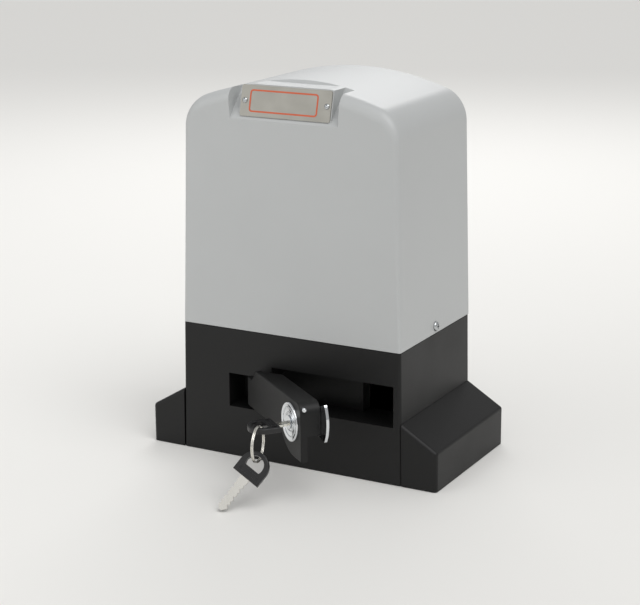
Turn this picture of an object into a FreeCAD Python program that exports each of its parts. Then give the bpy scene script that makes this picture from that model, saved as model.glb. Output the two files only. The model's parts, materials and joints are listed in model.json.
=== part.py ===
"""Sliding gate motor: a covered worm-gear operator with a key-locked release lever.

Millimetres. Z is up, the front (release lever) faces -Y, the drive pinion is at the rear (+Y).
The origin is the centre of the base's underside.
"""

import FreeCAD, Part
import math
import os

Vector = FreeCAD.Vector
X_AXIS = Vector(1, 0, 0)
Y_AXIS = Vector(0, 1, 0)
Z_AXIS = Vector(0, 0, 1)
ORIGIN = Vector(0, 0, 0)

# ---------------------------------------------------------------- body and cover
body_width = 220.0  # at the seam between the base and the cover
body_depth = 143.0
base_height = 120.0
base_side_draft = 0.95  # degrees, the base widens downwards
base_front_draft = 0.4
base_rear_draft = 0.3
base_corner_radius = 2.5
base_wall = 3.0
floor_thickness = 4.0
seam_gap = 0.6

cover_top = 344.6  # height of the crown above the ground
cover_crown_radius = 258.0
cover_corner_radius = 30.0
cover_side_draft = 1.25
cover_front_lean = 0.3
cover_rear_lean = 0.75
cover_wall = 2.6
cover_crown_round = 10.5  # front edge rounding along the crown
cover_side_round = 6.5  # front edge rounding at the top of the sides
cover_seam_round = 2.2  # front edge rounding at the seam
lip_height = 4.0  # rim that centres the cover
lip_thickness = 2.2
lip_clearance = 0.3
lip_seat = 1.2  # the rim below the seam is this much wider and meets the walls

recess_centre = -4.0  # slanted panel for the nameplate, a little left of the middle
recess_width = 107.0
recess_bottom = 311.4
recess_slope = 45.0
recess_ledge = 0.8
recess_side_draft = 3.5  # the sides open upwards
plate_width = 89.0
plate_height = 27.4
plate_thickness_sheet = 1.0
plate_slope = 76.0  # the plate stands steeper than the slant, on a moulded pad
plate_rise = 4.0  # from the recess's lower edge up the slant
pad_border = 1.0
plate_corner = 2.0
plate_screw_spacing = 81.0
plate_screw_shank = 1.6
plate_screw_dome = 2.5
plate_screw_length = 5.0

cover_screw_height = 7.0  # above the seam
cover_screw_radius = 2.0
cover_screw_head_radius = 4.3
cover_screw_head = 2.6
cover_screw_length = 12.0
cover_tab_width = 22.0
cover_tab_height = 14.0
cover_tab_thickness = 8.0
screw_clearance = 0.15

# ---------------------------------------------------------------- feet
foot_reach = 34.0
foot_outer_height = 35.4
foot_inner_height = 56.4
foot_wall = 2.5
foot_edge_radius = 3.5
foot_gap = 0.3
flange_thickness = 9.0
flange_inset = 4.5  # flange edge to the foot cover's inner face
anchor_slot_width = 10.5
anchor_slot_length = 20.0
anchor_spacing_x = 262.0
anchor_spacing_y = 96.0
rib_thickness = 3.0

# ---------------------------------------------------------------- lever window in the base's front
window_wall = 2.6
tail_slot_left = 62.5  # left of the centre line
tail_slot_bottom = 46.8
tail_slot_height = 31.6
recess_left = 18.0  # left of the centre line
pocket_right = 103.9
pocket_bottom = 52.3
pocket_height = 37.4
pocket_depth = 27.5
deep_pocket_width = 43.5
deep_pocket_depth = 41.0
tongue_slot_reach = 23.0  # from the lock axis towards the hinge

# ---------------------------------------------------------------- release lever
lever_open_angle = 38.0  # stored swung open
hinge_x = -32.0
hinge_setback = 3.3  # hinge axis behind the base's front face
lever_proud = 0.6  # gap between the closed lever plate and the base's front face
lever_plate_thickness = 5.9
lever_reach = 118.9
lever_back_reach = 6.0
lever_bottom = 51.0
lever_top = 89.0
lever_end_radius = 10.0
lever_arm_top = 77.8
lever_arm_bottom = 47.4
lever_shoulder_start = 4.0
lever_shoulder_end = 15.4
lever_ear_bottom = 37.4
lever_ear_start = 76.0
lever_ear_end = 104.0
lever_block_depth = 18.1  # from the plate's front face to the block's rear
lever_block_bottom = 60.0
lever_block_start = 35.0
lever_edge_radius = 1.2
hinge_pin_radius = 1.75
hinge_barrel_radius = 4.0
running_clearance = 0.05
tail_length = 11.0
tail_half_width = 2.5
tail_bottom = 56.0
tail_top = 69.0

# ---------------------------------------------------------------- lock and keys
lock_reach = 97.6  # from the hinge axis along the lever
lock_height = 68.0
lock_face_radius = 17.3
lock_face_thickness = 2.4
lock_dish_radius = 15.6  # the face is hollowed inside this radius
lock_dish_depth = 1.3
lock_barrel_radius = 7.8
lock_plug_radius = 6.0
lock_plug_rim = 0.8
keyway_width = 2.6
keyway_drop = 1.2  # below the lock axis
keyway_length = 9.6
cam_hub_radius = 9.6
cam_thickness = 2.5
cam_reach = 33.2
cam_half_height = 16.5
cam_rise = 4.0  # middle of the tongue above the lock axis
cam_hook_depth = 1.0
cam_nut_across = 17.0
cam_nut_height = 3.0
lock_pin_radius = 2.1
lock_pin_length = 7.0
lock_pin_height = 84.0
lock_pin_depth = 3.4  # behind the plate's front face
key_blade_width = 9.0
key_blade_thickness = 2.0
key_blade_length = 34.0
key_insertion = 23.0
key_bow_length = 25.0
key_bow_width = 27.0
key_bow_thickness = 4.6
key_rim = 3.6
key_eye_depth = 12.0
key_eye_width = 15.0
key_ring_radius = 15.5
key_ring_wire = 0.8  # half the band's thickness
key_ring_band = 2.4
ring_slack = 0.6  # over the rim of the bow
ring_turn = 40.0  # degrees from across the key to where the ring hangs over the rim
ring_seat = 10.1  # from the centre of the eye's arc to the middle of the rim there
spare_slack = 3.2  # the leaning bow needs this much more room round the wire
spare_lean = 43.0  # degrees from upright, tip on the ground
spare_turn = -38.0
spare_spin = -45.0

# ---------------------------------------------------------------- drive train
drive_x = -37.0
drive_height = 62.5
wheel_centre_y = 8.0
wheel_teeth = 40
wheel_module = 2.0
wheel_width = 16.0
wheel_hub_radius = 21.0
wheel_bore_clearance = 0.05
worm_pitch_radius = 13.0
worm_length = 42.0
pressure_angle = 20.0
mesh_backlash = 0.5
mesh_tip_clearance = 0.5
shaft_radius = 12.5
shaft_front = -20.0
shaft_rear = 106.6
shaft_bore_radius = 4.3
shaft_bore_rear = 36.0
pinion_teeth = 16
pinion_module = 4.0
pinion_front = 77.0
pinion_width = 30.0
pinion_hub_radius = 20.0
pinion_hub_length = 4.0
key_stock = 8.0
washer_radius = 15.0
washer_thickness = 3.0
shaft_bolt_radius = 4.0
shaft_bolt_head = 5.3
shaft_bolt_across = 13.0
dog_count = 4
dog_length = 4.0
dog_width = 7.0
sleeve_radius = 20.0
sleeve_length = 10.0
sleeve_lead = 5.1  # sleeve has moved this far back with the lever as stored
cross_pin_radius = 2.5
clutch_travel_per_degree = 0.135
rod_radius = 4.0
rod_pad_radius = 8.0
rod_pad_thickness = 3.0
contact_gap = 0.3
collar_front = 44.0
collar_width = 2.0
collar_rise = 3.5
seal_width = 5.0
spring_wire = 1.1
spring_mean_radius = 15.0
spring_coils = 4
bearing_width = 12.0
bearing_radius = 23.5
bearing_race = 4.0
seat_gap = 0.05
press_gap = 0.02
seal_gap = 0.03
flush = 0.01  # how near two faces lie to count as one

# ---------------------------------------------------------------- gearbox casting
casting_wall = 6.0
casting_front = -22.0
casting_rear = 71.0
wheel_room = 3.0
worm_room = 3.0
casting_neck_y = 24.0
casting_bottom = 14.0
flange_height = 120.0
flange_plate = 6.0
gearbox_cover_thickness = 6.0
gearbox_foot_radius = 9.0
gearbox_bolt_radius = 3.0

# ---------------------------------------------------------------- motor
motor_radius = 47.0
motor_bell_height = 26.0
stator_height = 72.0
stator_bore = 27.0
rotor_gap = 0.6
rotor_shaft_radius = 7.5
rotor_bearing_radius = 16.0
rotor_bearing_width = 9.0
winding_height = 16.0
winding_inner = 29.5
winding_outer = 41.5
motor_bolt_radius = 2.5
motor_bolt_circle = 52.0
fan_radius = 38.0
fan_height = 14.0
fan_blades = 8

# ---------------------------------------------------------------- electrics
board_width = 104.0
board_height = 118.0
board_thickness = 1.6
board_bottom = 134.0
board_x = -58.0
bracket_thickness = 3.0
bracket_screw_offset = 8.5  # left of the drive axis
standoff_length = 5.0
capacitor_radius = 19.0
capacitor_height = 78.0
capacitor_x = 80.0
capacitor_y = 18.0
clamp_thickness = 1.5
clamp_height = 14.0
cable_inlet_radius = 12.5
cable_inlet_x = 68.0
cable_inlet_y = -14.0

# ---------------------------------------------------------------- limit switch
limit_box_width = 46.0
limit_box_depth = 22.0
limit_box_height = 20.0
limit_box_bottom = 100.0
limit_pin_radius = 2.0
wand_hub_radius = 4.5
wand_slot_width = 11.0
wand_slot_length = 30.0
wand_pivot_rise = 12.0
wand_radius = 4.0
wand_length = 52.0
wand_ball_radius = 6.0

# ---------------------------------------------------------------- derived positions
half_width = body_width / 2
half_depth = body_depth / 2
seam = base_height
base_bottom_half = half_width + base_height * math.tan(math.radians(base_side_draft))


def base_side_x(z):
    """Outer face of the base's side wall at a height."""
    return half_width + (base_height - z) * math.tan(math.radians(base_side_draft))


def base_front_y(z):
    """Outer face of the base's front wall at a height."""
    return -half_depth - (base_height - z) * math.tan(math.radians(base_front_draft))


def base_rear_y(z):
    """Outer face of the base's rear wall at a height."""
    return half_depth + (base_height - z) * math.tan(math.radians(base_rear_draft))


front_at_lever = base_front_y(drive_height)
hinge_y = front_at_lever + hinge_setback
lever_face = -(hinge_setback + lever_proud + lever_plate_thickness)
lever_plate_back = lever_face + lever_plate_thickness
lever_block_back = lever_face + lever_block_depth
wheel_pitch_radius = wheel_teeth * wheel_module / 2
worm_x = drive_x + wheel_pitch_radius + worm_pitch_radius
worm_y = wheel_centre_y
wheel_front = wheel_centre_y - wheel_width / 2
wheel_rear = wheel_centre_y + wheel_width / 2
motor_base = flange_height + flange_plate
stator_bottom = motor_base + motor_bell_height
stator_top = stator_bottom + stator_height
motor_top = stator_top + motor_bell_height
rear_bearing_y = casting_rear - 2.0 - seal_width - bearing_width


# ---------------------------------------------------------------- small shapes
def block(x0, x1, y0, y1, z0, z1):
    return Part.makeBox(x1 - x0, y1 - y0, z1 - z0, Vector(x0, y0, z0))


def rod(radius, start, axis, length):
    return Part.makeCylinder(radius, length, start, axis)


def ring(outer, inner, start, axis, length):
    return rod(outer, start, axis, length).cut(rod(inner, start, axis, length))


def polygon(points):
    return Part.makePolygon(points + [points[0]])


def extruded(wire, direction):
    return Part.Face(wire).extrude(direction)


def joined(shapes):
    """One solid from pieces of the same moulding."""
    first = shapes[0]
    return first.fuse(shapes[1:]).removeSplitter()


def group(shapes):
    return Part.makeCompound(shapes)


def rounded_rectangle(x0, x1, y0, y1, radius, z):
    """Closed wire of a rectangle with rounded corners."""
    edges = []
    corners = [(x1, y0, -90), (x1, y1, 0), (x0, y1, 90), (x0, y0, 180)]
    centres = []
    for x, y, start in corners:
        cx = x - radius if x == x1 else x + radius
        cy = y - radius if y == y1 else y + radius
        centres.append((cx, cy, start))
    arcs = []
    for cx, cy, start in centres:
        points = []
        for turn in (0, 45, 90):
            angle = math.radians(start + turn)
            points.append(Vector(cx + radius * math.cos(angle), cy + radius * math.sin(angle), z))
        arcs.append(points)
    for index, points in enumerate(arcs):
        edges.append(Part.Arc(*points).toShape())
        following = arcs[(index + 1) % len(arcs)]
        edges.append(Part.LineSegment(points[2], following[0]).toShape())
    return Part.Wire(edges)


def round_block(x0, x1, y0, y1, z0, z1, radius):
    """Box with rounded vertical edges."""
    return extruded(rounded_rectangle(x0, x1, y0, y1, radius, z0), Vector(0, 0, z1 - z0))


def screw(head_radius, head_length, radius, length, seat, axis):
    """Pan-head screw: seat is the point under the head, axis the way the shank goes."""
    head = rod(head_radius, seat - axis * head_length, axis, head_length)
    shank = rod(radius, seat, axis, length)
    return joined([head, shank])


def hex_prism(across_flats, start, axis, length):
    """Hexagonal bar along Y or Z."""
    radius = across_flats / math.sqrt(3)
    points = []
    for corner in range(6):
        angle = math.radians(60 * corner)
        side, rise = radius * math.cos(angle), radius * math.sin(angle)
        points.append(start + (Vector(side, rise, 0) if axis.z else Vector(side, 0, rise)))
    return extruded(polygon(points), axis * length)


# ---------------------------------------------------------------- cover
def arch_outline(y, inset_side_low, inset_side_high, inset_crown, bottom):
    """Front-view outline of the cover: drafted sides, corner arcs and a shallow crown arc."""
    rise = cover_top - cover_corner_radius - seam
    lean = math.atan(math.tan(math.radians(cover_side_draft)) + (inset_side_high - inset_side_low) / rise)
    half = half_width - inset_side_low + (seam - bottom) * math.tan(lean)
    crown = cover_crown_radius - inset_crown
    corner = cover_corner_radius - inset_crown
    centre = Vector(0, y, cover_top - cover_crown_radius)
    along = Vector(-math.sin(lean), 0, math.cos(lean))
    outward = Vector(math.cos(lean), 0, math.sin(lean))
    start = Vector(half, y, bottom) - outward * corner
    offset = start - centre
    reach = crown - corner
    middle = offset.dot(along)
    travel = -middle + math.sqrt(middle * middle - offset.dot(offset) + reach * reach)
    hub = start + along * travel
    radial = (hub - centre).normalize()
    side_end = hub + outward * corner
    crown_end = centre + radial * crown
    corner_middle = hub + (outward + radial).normalize() * corner
    apex = centre + Vector(0, 0, crown)

    def mirrored(point):
        return Vector(-point.x, point.y, point.z)

    foot = Vector(half, y, bottom)
    return Part.Wire(
        [
            Part.LineSegment(mirrored(foot), foot).toShape(),
            Part.LineSegment(foot, side_end).toShape(),
            Part.Arc(side_end, corner_middle, crown_end).toShape(),
            Part.Arc(crown_end, apex, mirrored(crown_end)).toShape(),
            Part.Arc(mirrored(crown_end), mirrored(corner_middle), mirrored(side_end)).toShape(),
            Part.LineSegment(mirrored(side_end), mirrored(foot)).toShape(),
        ]
    )


def round_inset(radius, depth):
    """How far a rounded edge lies inside the sharp outline at a depth behind the face."""
    if depth >= radius:
        return 0.0
    return radius - math.sqrt(radius * radius - (radius - depth) ** 2)


def cover_form(inset, bottom):
    """Solid form of the cover, its outside (inset 0) or its cavity (inset = wall)."""
    front = -half_depth + inset
    crown_round = cover_crown_round - inset
    side_round = cover_side_round - inset
    seam_round = max(cover_seam_round - inset, 0.2)
    sections = []
    for share in (0.0, 0.06, 0.2, 0.45, 0.72, 1.0):
        depth = crown_round * share
        sections.append(
            arch_outline(
                front + depth,
                inset + round_inset(seam_round, depth),
                inset + round_inset(side_round, depth),
                inset + round_inset(crown_round, depth),
                bottom,
            )
        )
    nose = Part.makeLoft(sections, True, False)
    start = front + crown_round
    body = extruded(sections[-1], Vector(0, half_depth + 10 - start, 0))
    form = nose.fuse(body)
    form.rotate(Vector(0, -half_depth, seam), X_AXIS, -cover_front_lean)
    lean = math.radians(cover_rear_lean)
    rear_foot = half_depth - inset
    top = cover_top + 20
    behind = [
        Vector(-body_width, rear_foot + (seam - bottom) * math.tan(lean), bottom - 5),
        Vector(-body_width, rear_foot - (top - seam) * math.tan(lean), top),
        Vector(-body_width, half_depth + 40, top),
        Vector(-body_width, half_depth + 40, bottom - 5),
    ]
    return form.cut(extruded(polygon(behind), Vector(2 * body_width, 0, 0)))


def recess_wedge(grow):
    """Cutter for the nameplate recess, or, grown by the wall, the panel behind it."""
    slope = math.radians(recess_slope)
    half = recess_width / 2 + grow
    shift = Vector(0, math.sin(slope), -math.cos(slope)) * grow
    low = Vector(0, -half_depth + recess_ledge, recess_bottom) + shift
    reach = 60.0
    high = low + Vector(0, math.cos(slope), math.sin(slope)) * reach
    front = low.y - 30
    widening = reach * math.sin(slope) * math.tan(math.radians(recess_side_draft))
    outlines = []
    for half_here, back, z in ((half, low.y, low.z), (half + widening, high.y, high.z)):
        left, right = recess_centre - half_here, recess_centre + half_here
        corners = [
            Vector(left, front, z),
            Vector(right, front, z),
            Vector(right, back, z),
            Vector(left, back, z),
        ]
        outlines.append(polygon(corners))
    return Part.makeLoft(outlines, True, True)


def cover_screw_place(side):
    z = seam + cover_screw_height
    x = side * (half_width - (z - seam) * math.tan(math.radians(cover_side_draft)))
    return Vector(x, 0, z)


def plate_foot():
    """Lower front edge of the nameplate's pad, on the slant."""
    slope = math.radians(recess_slope)
    low = Vector(recess_centre, -half_depth + recess_ledge, recess_bottom)
    return low + Vector(0, math.cos(slope), math.sin(slope)) * plate_rise


def plate_normal():
    slope = math.radians(plate_slope)
    return Vector(0, -math.sin(slope), math.cos(slope))


def on_plate(x, up, out):
    """Point on the pad's face: x across from its middle, up along it, out along its normal."""
    slope = math.radians(plate_slope)
    across = Vector(x, 0, 0)
    return plate_foot() + across + Vector(0, math.cos(slope), math.sin(slope)) * up + plate_normal() * out


def plate_screw_x():
    return (-plate_screw_spacing / 2, plate_screw_spacing / 2)


def nameplate_pad():
    """Wedge on the slant that carries the nameplate."""
    half = plate_width / 2 + pad_border
    low = on_plate(-half, -1.0, 0)
    high = on_plate(-half, plate_height + pad_border, 0)
    slope = math.tan(math.radians(recess_slope))
    back = low.y + 1.0 + (high.z - low.z) / slope
    return extruded(polygon([low, high, Vector(low.x, back, high.z)]), Vector(2 * half, 0, 0))


def top_cover():
    bottom = seam + seam_gap
    below = block(-body_width, body_width, -body_depth, body_depth, bottom - 20, bottom)
    outer = cover_form(0.0, bottom - 3).cut(below)
    cavity = cover_form(cover_wall, bottom - 5).cut(recess_wedge(cover_wall))
    shell = outer.cut(recess_wedge(0.0)).cut(cavity)
    shell = shell.fuse(nameplate_pad().common(outer))
    cuts = []
    for side in (-1, 1):
        start = cover_screw_place(side) - Vector(side * 8, 0, 0)
        cuts.append(rod(cover_screw_radius + screw_clearance, start, X_AXIS * side, 16))
    for x in plate_screw_x():
        place = on_plate(x, plate_height / 2, 0.5)
        cuts.append(
            rod(plate_screw_shank + screw_clearance, place, plate_normal() * -1, plate_screw_length + 1.5)
        )
    return shell.cut(cuts).removeSplitter()


def nameplate():
    plate = round_block(
        -plate_width / 2, plate_width / 2, 0, plate_height, 0, plate_thickness_sheet, plate_corner
    )
    for x in plate_screw_x():
        hole = rod(plate_screw_shank + screw_clearance, Vector(x, plate_height / 2, -1), Z_AXIS, 5)
        plate = plate.cut(hole)
    plate.rotate(ORIGIN, X_AXIS, plate_slope)
    plate.translate(on_plate(0, 0, 0.02))
    return plate


def nameplate_screws():
    screws = []
    for x in plate_screw_x():
        seat = on_plate(x, plate_height / 2, plate_thickness_sheet + 0.04)
        inward = plate_normal() * -1
        shank = rod(plate_screw_shank, seat, inward, plate_screw_length)
        dome = Part.makeSphere(plate_screw_dome, seat + inward * plate_screw_dome * 0.6)
        below = rod(plate_screw_dome * 2, seat, inward, plate_screw_dome * 3)
        screws.append(joined([dome.cut(below), shank]))
    return group(screws)


def cover_screws():
    screws = []
    for side in (-1, 1):
        seat = cover_screw_place(side) + Vector(side * 0.3, 0, 0)
        inward = X_AXIS * -side
        screws.append(
            screw(
                cover_screw_head_radius,
                cover_screw_head,
                cover_screw_radius,
                cover_screw_length,
                seat,
                inward,
            )
        )
    return group(screws)


# ---------------------------------------------------------------- base
def base_form(inset, low, high):
    """Drafted rounded box between two heights, moved in by an inset."""
    outlines = []
    for z in (low, high):
        side = base_side_x(z) - inset
        front = base_front_y(z) + inset
        rear = base_rear_y(z) - inset
        radius = max(base_corner_radius - inset, 0.6)
        outlines.append(rounded_rectangle(-side, side, front, rear, radius, z))
    return Part.makeLoft(outlines, True, True)


def window_box():
    """Walls of the window that the release lever closes, moulded behind the front panel."""
    left = -tail_slot_left - window_wall
    right = pocket_right + window_wall
    front = base_front_y(0) + 1.5
    back = front_at_lever + pocket_depth + window_wall
    high = pocket_bottom + pocket_height
    shallow = block(left, right, front, back, tail_slot_bottom - window_wall, high + window_wall)
    deep = block(
        pocket_right - deep_pocket_width - window_wall,
        right,
        front,
        front_at_lever + deep_pocket_depth,
        pocket_bottom - window_wall,
        high + window_wall,
    )
    slot_top = tail_slot_bottom + tail_slot_height
    above_slot = block(
        left + window_wall,
        -recess_left - window_wall,
        base_front_y(0) + base_wall,
        back + 1,
        slot_top + window_wall,
        high + window_wall + 1,
    )
    below_pocket = block(
        hinge_x + lever_block_start + window_wall,
        right + 1,
        base_front_y(0) + base_wall,
        front_at_lever + deep_pocket_depth + 1,
        tail_slot_bottom - window_wall - 1,
        pocket_bottom - window_wall,
    )
    return shallow.fuse(deep).cut([above_slot, below_pocket])


def window_space():
    """The open room of the window: the tail slot, the pocket and the deep pocket for the latch."""
    front = base_front_y(0) - 5
    back = front_at_lever + pocket_depth
    high = pocket_bottom + pocket_height
    slot_top = tail_slot_bottom + tail_slot_height
    slot = block(-tail_slot_left, -recess_left, front, back, tail_slot_bottom, slot_top)
    under = block(-recess_left, hinge_x + lever_block_start, front, back, tail_slot_bottom, slot_top)
    pocket = block(-recess_left, pocket_right, front, back, pocket_bottom, high)
    deep = block(
        pocket_right - deep_pocket_width,
        pocket_right,
        front,
        front_at_lever + deep_pocket_depth + 1,
        pocket_bottom,
        high,
    )
    latch_front = hinge_y + lever_block_back
    slot_middle = hinge_x + lock_reach
    latch = block(
        slot_middle - tongue_slot_reach,
        pocket_right,
        latch_front - 0.4,
        latch_front + cam_thickness + cam_hook_depth + 2,
        high - 1,
        high + window_wall + 1,
    )
    return slot.fuse([under, pocket, deep, latch])


def flange(side):
    """Fixing flange that stands out under a foot cover, with two anchor slots."""
    inner = base_side_x(0) - base_wall
    outer = base_bottom_half + foot_reach - foot_wall - flange_inset
    front = base_front_y(0) + foot_wall + flange_inset
    rear = base_rear_y(0) - foot_wall - flange_inset
    plate = block(inner, outer, front, rear, 0, flange_thickness)
    for y in (-anchor_spacing_y / 2, anchor_spacing_y / 2):
        x = anchor_spacing_x / 2
        slot = round_block(
            x - anchor_slot_length / 2,
            x + anchor_slot_length / 2,
            y - anchor_slot_width / 2,
            y + anchor_slot_width / 2,
            -1,
            flange_thickness + 1,
            anchor_slot_width / 2 - 0.001,
        )
        plate = plate.cut(slot)
    ribs = []
    for y in (-anchor_spacing_y / 4, 0, anchor_spacing_y / 4):
        points = [
            Vector(inner, y - rib_thickness / 2, flange_thickness - 1),
            Vector(outer - 4, y - rib_thickness / 2, flange_thickness - 1),
            Vector(inner, y - rib_thickness / 2, flange_thickness + 24),
        ]
        ribs.append(extruded(polygon(points), Vector(0, rib_thickness, 0)))
    whole = plate.fuse(ribs)
    if side < 0:
        whole = whole.mirror(ORIGIN, X_AXIS)
    return whole


def gearbox_feet():
    """Places of the four gearbox bolts on the base's floor."""
    places = []
    for x in (drive_x - 44, worm_x + 28):
        for y in (casting_front + 6, casting_neck_y + 10):
            places.append((x, y))
    return places


def base_housing():
    outer = base_form(0.0, 0.0, seam)
    inner = base_form(base_wall, floor_thickness, seam + flush)
    tub = outer.cut(inner)
    walls = window_box()
    tub = tub.fuse([walls, flange(1), flange(-1)])
    half_lip_x = half_width - cover_wall - lip_clearance
    half_lip_y = half_depth - cover_wall - lip_clearance - 0.2
    rim_outer = round_block(
        -half_lip_x, half_lip_x, -half_lip_y, half_lip_y, seam - 8, seam + lip_height, 1.5
    )
    rim_inner = round_block(
        -half_lip_x + lip_thickness,
        half_lip_x - lip_thickness,
        -half_lip_y + lip_thickness,
        half_lip_y - lip_thickness,
        seam - 9,
        seam + lip_height + 1,
        1.0,
    )
    seat_rim = round_block(
        -half_lip_x - lip_seat,
        half_lip_x + lip_seat,
        -half_lip_y - lip_seat,
        half_lip_y + lip_seat,
        seam - 8,
        seam - 0.5,
        2.0,
    )
    additions = [rim_outer.cut(rim_inner), seat_rim.cut(rim_inner)]
    for side in (-1, 1):
        place = cover_screw_place(side)
        face = place.x - side * (cover_wall + 0.5)
        near, far = sorted((face, face - side * cover_tab_thickness))
        tab = block(
            near, far, -cover_tab_width / 2, cover_tab_width / 2, seam - 20, seam + cover_tab_height
        )
        additions.append(tab)
    for x, y in gearbox_feet():
        additions.append(rod(gearbox_foot_radius, Vector(x, y, 1), Z_AXIS, casting_bottom - 6 - 1))
    tub = tub.fuse(additions)
    cuts = [window_space()]
    for side in (-1, 1):
        start = cover_screw_place(side) - Vector(side * 13.5, 0, 0)
        cuts.append(rod(cover_screw_radius + screw_clearance, start, X_AXIS * side, 16))
    pin_bottom = tail_slot_bottom - window_wall - 1
    pin_hole = rod(
        hinge_pin_radius + press_gap,
        Vector(hinge_x, hinge_y, pin_bottom),
        Z_AXIS,
        tail_slot_height + 2 * window_wall + 2,
    )
    cuts.append(pin_hole)
    guide_start = Vector(drive_x, front_at_lever + pocket_depth - 1, drive_height)
    cuts.append(rod(rod_radius + running_clearance, guide_start, Y_AXIS, window_wall + 2))
    rear_start = Vector(drive_x, half_depth - base_wall - 2, drive_height)
    cuts.append(rod(bearing_radius + casting_wall + 0.5, rear_start, Y_AXIS, base_wall + 6))
    cuts.append(
        rod(cable_inlet_radius, Vector(cable_inlet_x, cable_inlet_y, -1), Z_AXIS, floor_thickness + 2)
    )
    for x, y in gearbox_feet():
        cuts.append(rod(gearbox_bolt_radius + press_gap, Vector(x, y, 2), Z_AXIS, casting_bottom))
    return tub.cut(cuts).removeSplitter()


# ---------------------------------------------------------------- foot covers
def foot_profile(inset, bottom):
    """Side outline of a foot cover: upright outer face, slope up to the base's side."""
    outer = base_bottom_half + foot_reach - inset
    inner = base_side_x(0) + foot_gap
    slope = (foot_inner_height - foot_outer_height) / foot_reach
    drop = inset * math.sqrt(1 + slope * slope)
    top = foot_outer_height + inset * slope - drop
    high = foot_inner_height - drop
    inner_top = base_side_x(foot_inner_height) + foot_gap
    return [
        Vector(inner, 0, bottom),
        Vector(outer, 0, bottom),
        Vector(outer, 0, top),
        Vector(inner_top, 0, high),
    ]


def foot_cover_right():
    front = base_front_y(0)
    rear = base_rear_y(0)
    outline = polygon(foot_profile(0.0, 0.0))
    outline.translate(Vector(0, front, 0))
    outer = extruded(outline, Vector(0, rear - front, 0))
    rounded = []
    far = base_bottom_half + foot_reach
    for edge in outer.Edges:
        middle = edge.CenterOfMass
        upright_corner = abs(middle.x - far) < flush and abs(middle.z - foot_outer_height / 2) < flush
        top_corner = abs(middle.x - far) < flush and abs(middle.z - foot_outer_height) < flush
        on_slope = middle.z > foot_outer_height + 1 and middle.z < foot_inner_height - 1
        if upright_corner or top_corner or on_slope:
            rounded.append(edge)
    outer = outer.makeFillet(foot_edge_radius, rounded)
    hollow = polygon(foot_profile(foot_wall, -1.0))
    hollow.translate(Vector(0, front + foot_wall, 0))
    cavity = extruded(hollow, Vector(0, rear - front - 2 * foot_wall, 0))
    return outer.cut(cavity)


def foot_cover_left():
    return foot_cover_right().mirror(ORIGIN, X_AXIS)


# ---------------------------------------------------------------- release lever, hinge at the origin
def as_stored(shape):
    """Swings a closed lever piece open to its stored angle and puts it on the hinge axis."""
    placed = shape.copy()
    placed.rotate(ORIGIN, Z_AXIS, -lever_open_angle)
    placed.translate(Vector(hinge_x, hinge_y, 0))
    return placed


def upright_plate(edges, front, back):
    """Closed outline in the XZ plane extruded from a front to a back depth."""
    face = Part.Face(Part.Wire(edges))
    face.translate(Vector(0, front, 0))
    return face.extrude(Vector(0, back - front, 0))


def line(a, b):
    return Part.LineSegment(Vector(a[0], 0, a[1]), Vector(b[0], 0, b[1])).toShape()


def arc(a, b, c):
    return Part.Arc(Vector(a[0], 0, a[1]), Vector(b[0], 0, b[1]), Vector(c[0], 0, c[1])).toShape()


def lever_plate():
    """Front plate: a bar with an ear that drops over the lock, one top corner rounded."""
    left = -lever_back_reach
    end = lever_reach
    soft = lever_end_radius
    bend = soft * (1 - math.sqrt(0.5))
    ear_middle = (lever_ear_start + lever_ear_end) / 2
    ear_bow = (lever_ear_end - lever_ear_start) * 0.1
    middle_height = (lever_bottom + lever_ear_bottom) / 2
    points_a = (lever_ear_start, lever_bottom)
    points_b = (ear_middle - ear_bow, middle_height - ear_bow)
    points_c = (lever_ear_end, lever_ear_bottom)
    edges = [
        line((left, lever_bottom), points_a),
        arc(points_a, points_b, points_c),
        line(points_c, (end, lever_ear_bottom)),
        line((end, lever_ear_bottom), (end, lever_top - soft)),
        arc((end, lever_top - soft), (end - bend, lever_top - bend), (end - soft, lever_top)),
        line((end - soft, lever_top), (lever_shoulder_end, lever_top)),
        line((lever_shoulder_end, lever_top), (lever_shoulder_start, lever_arm_top)),
        line((lever_shoulder_start, lever_arm_top), (left, lever_arm_top)),
        line((left, lever_arm_top), (left, lever_bottom)),
    ]
    plate = upright_plate(edges, lever_face, lever_plate_back)
    rim = [edge for edge in plate.Edges if abs(edge.BoundBox.YMax - lever_face) < flush]
    return plate.makeFillet(lever_edge_radius, rim)


def lever_block():
    """Body behind the plate that fills the window, its inner end cut on the slant."""
    end = lever_reach
    soft = lever_end_radius
    bend = soft * (1 - math.sqrt(0.5))
    edges = [
        line((lever_shoulder_end, lever_block_bottom), (end, lever_block_bottom)),
        line((end, lever_block_bottom), (end, lever_top - soft)),
        arc((end, lever_top - soft), (end - bend, lever_top - bend), (end - soft, lever_top)),
        line((end - soft, lever_top), (lever_shoulder_end, lever_top)),
        line((lever_shoulder_end, lever_top), (lever_shoulder_end, lever_block_bottom)),
    ]
    body = upright_plate(edges, lever_plate_back - 0.5, lever_block_back)
    slant = [
        Vector(lever_shoulder_end - 1, lever_face, 0),
        Vector(lever_block_start, lever_block_back + 0.1, 0),
        Vector(lever_shoulder_end - 30, lever_block_back + 0.1, 0),
        Vector(lever_shoulder_end - 30, lever_face, 0),
    ]
    wedge = extruded(polygon(slant), Vector(0, 0, lever_top + 10))
    return body.cut(wedge)


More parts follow.
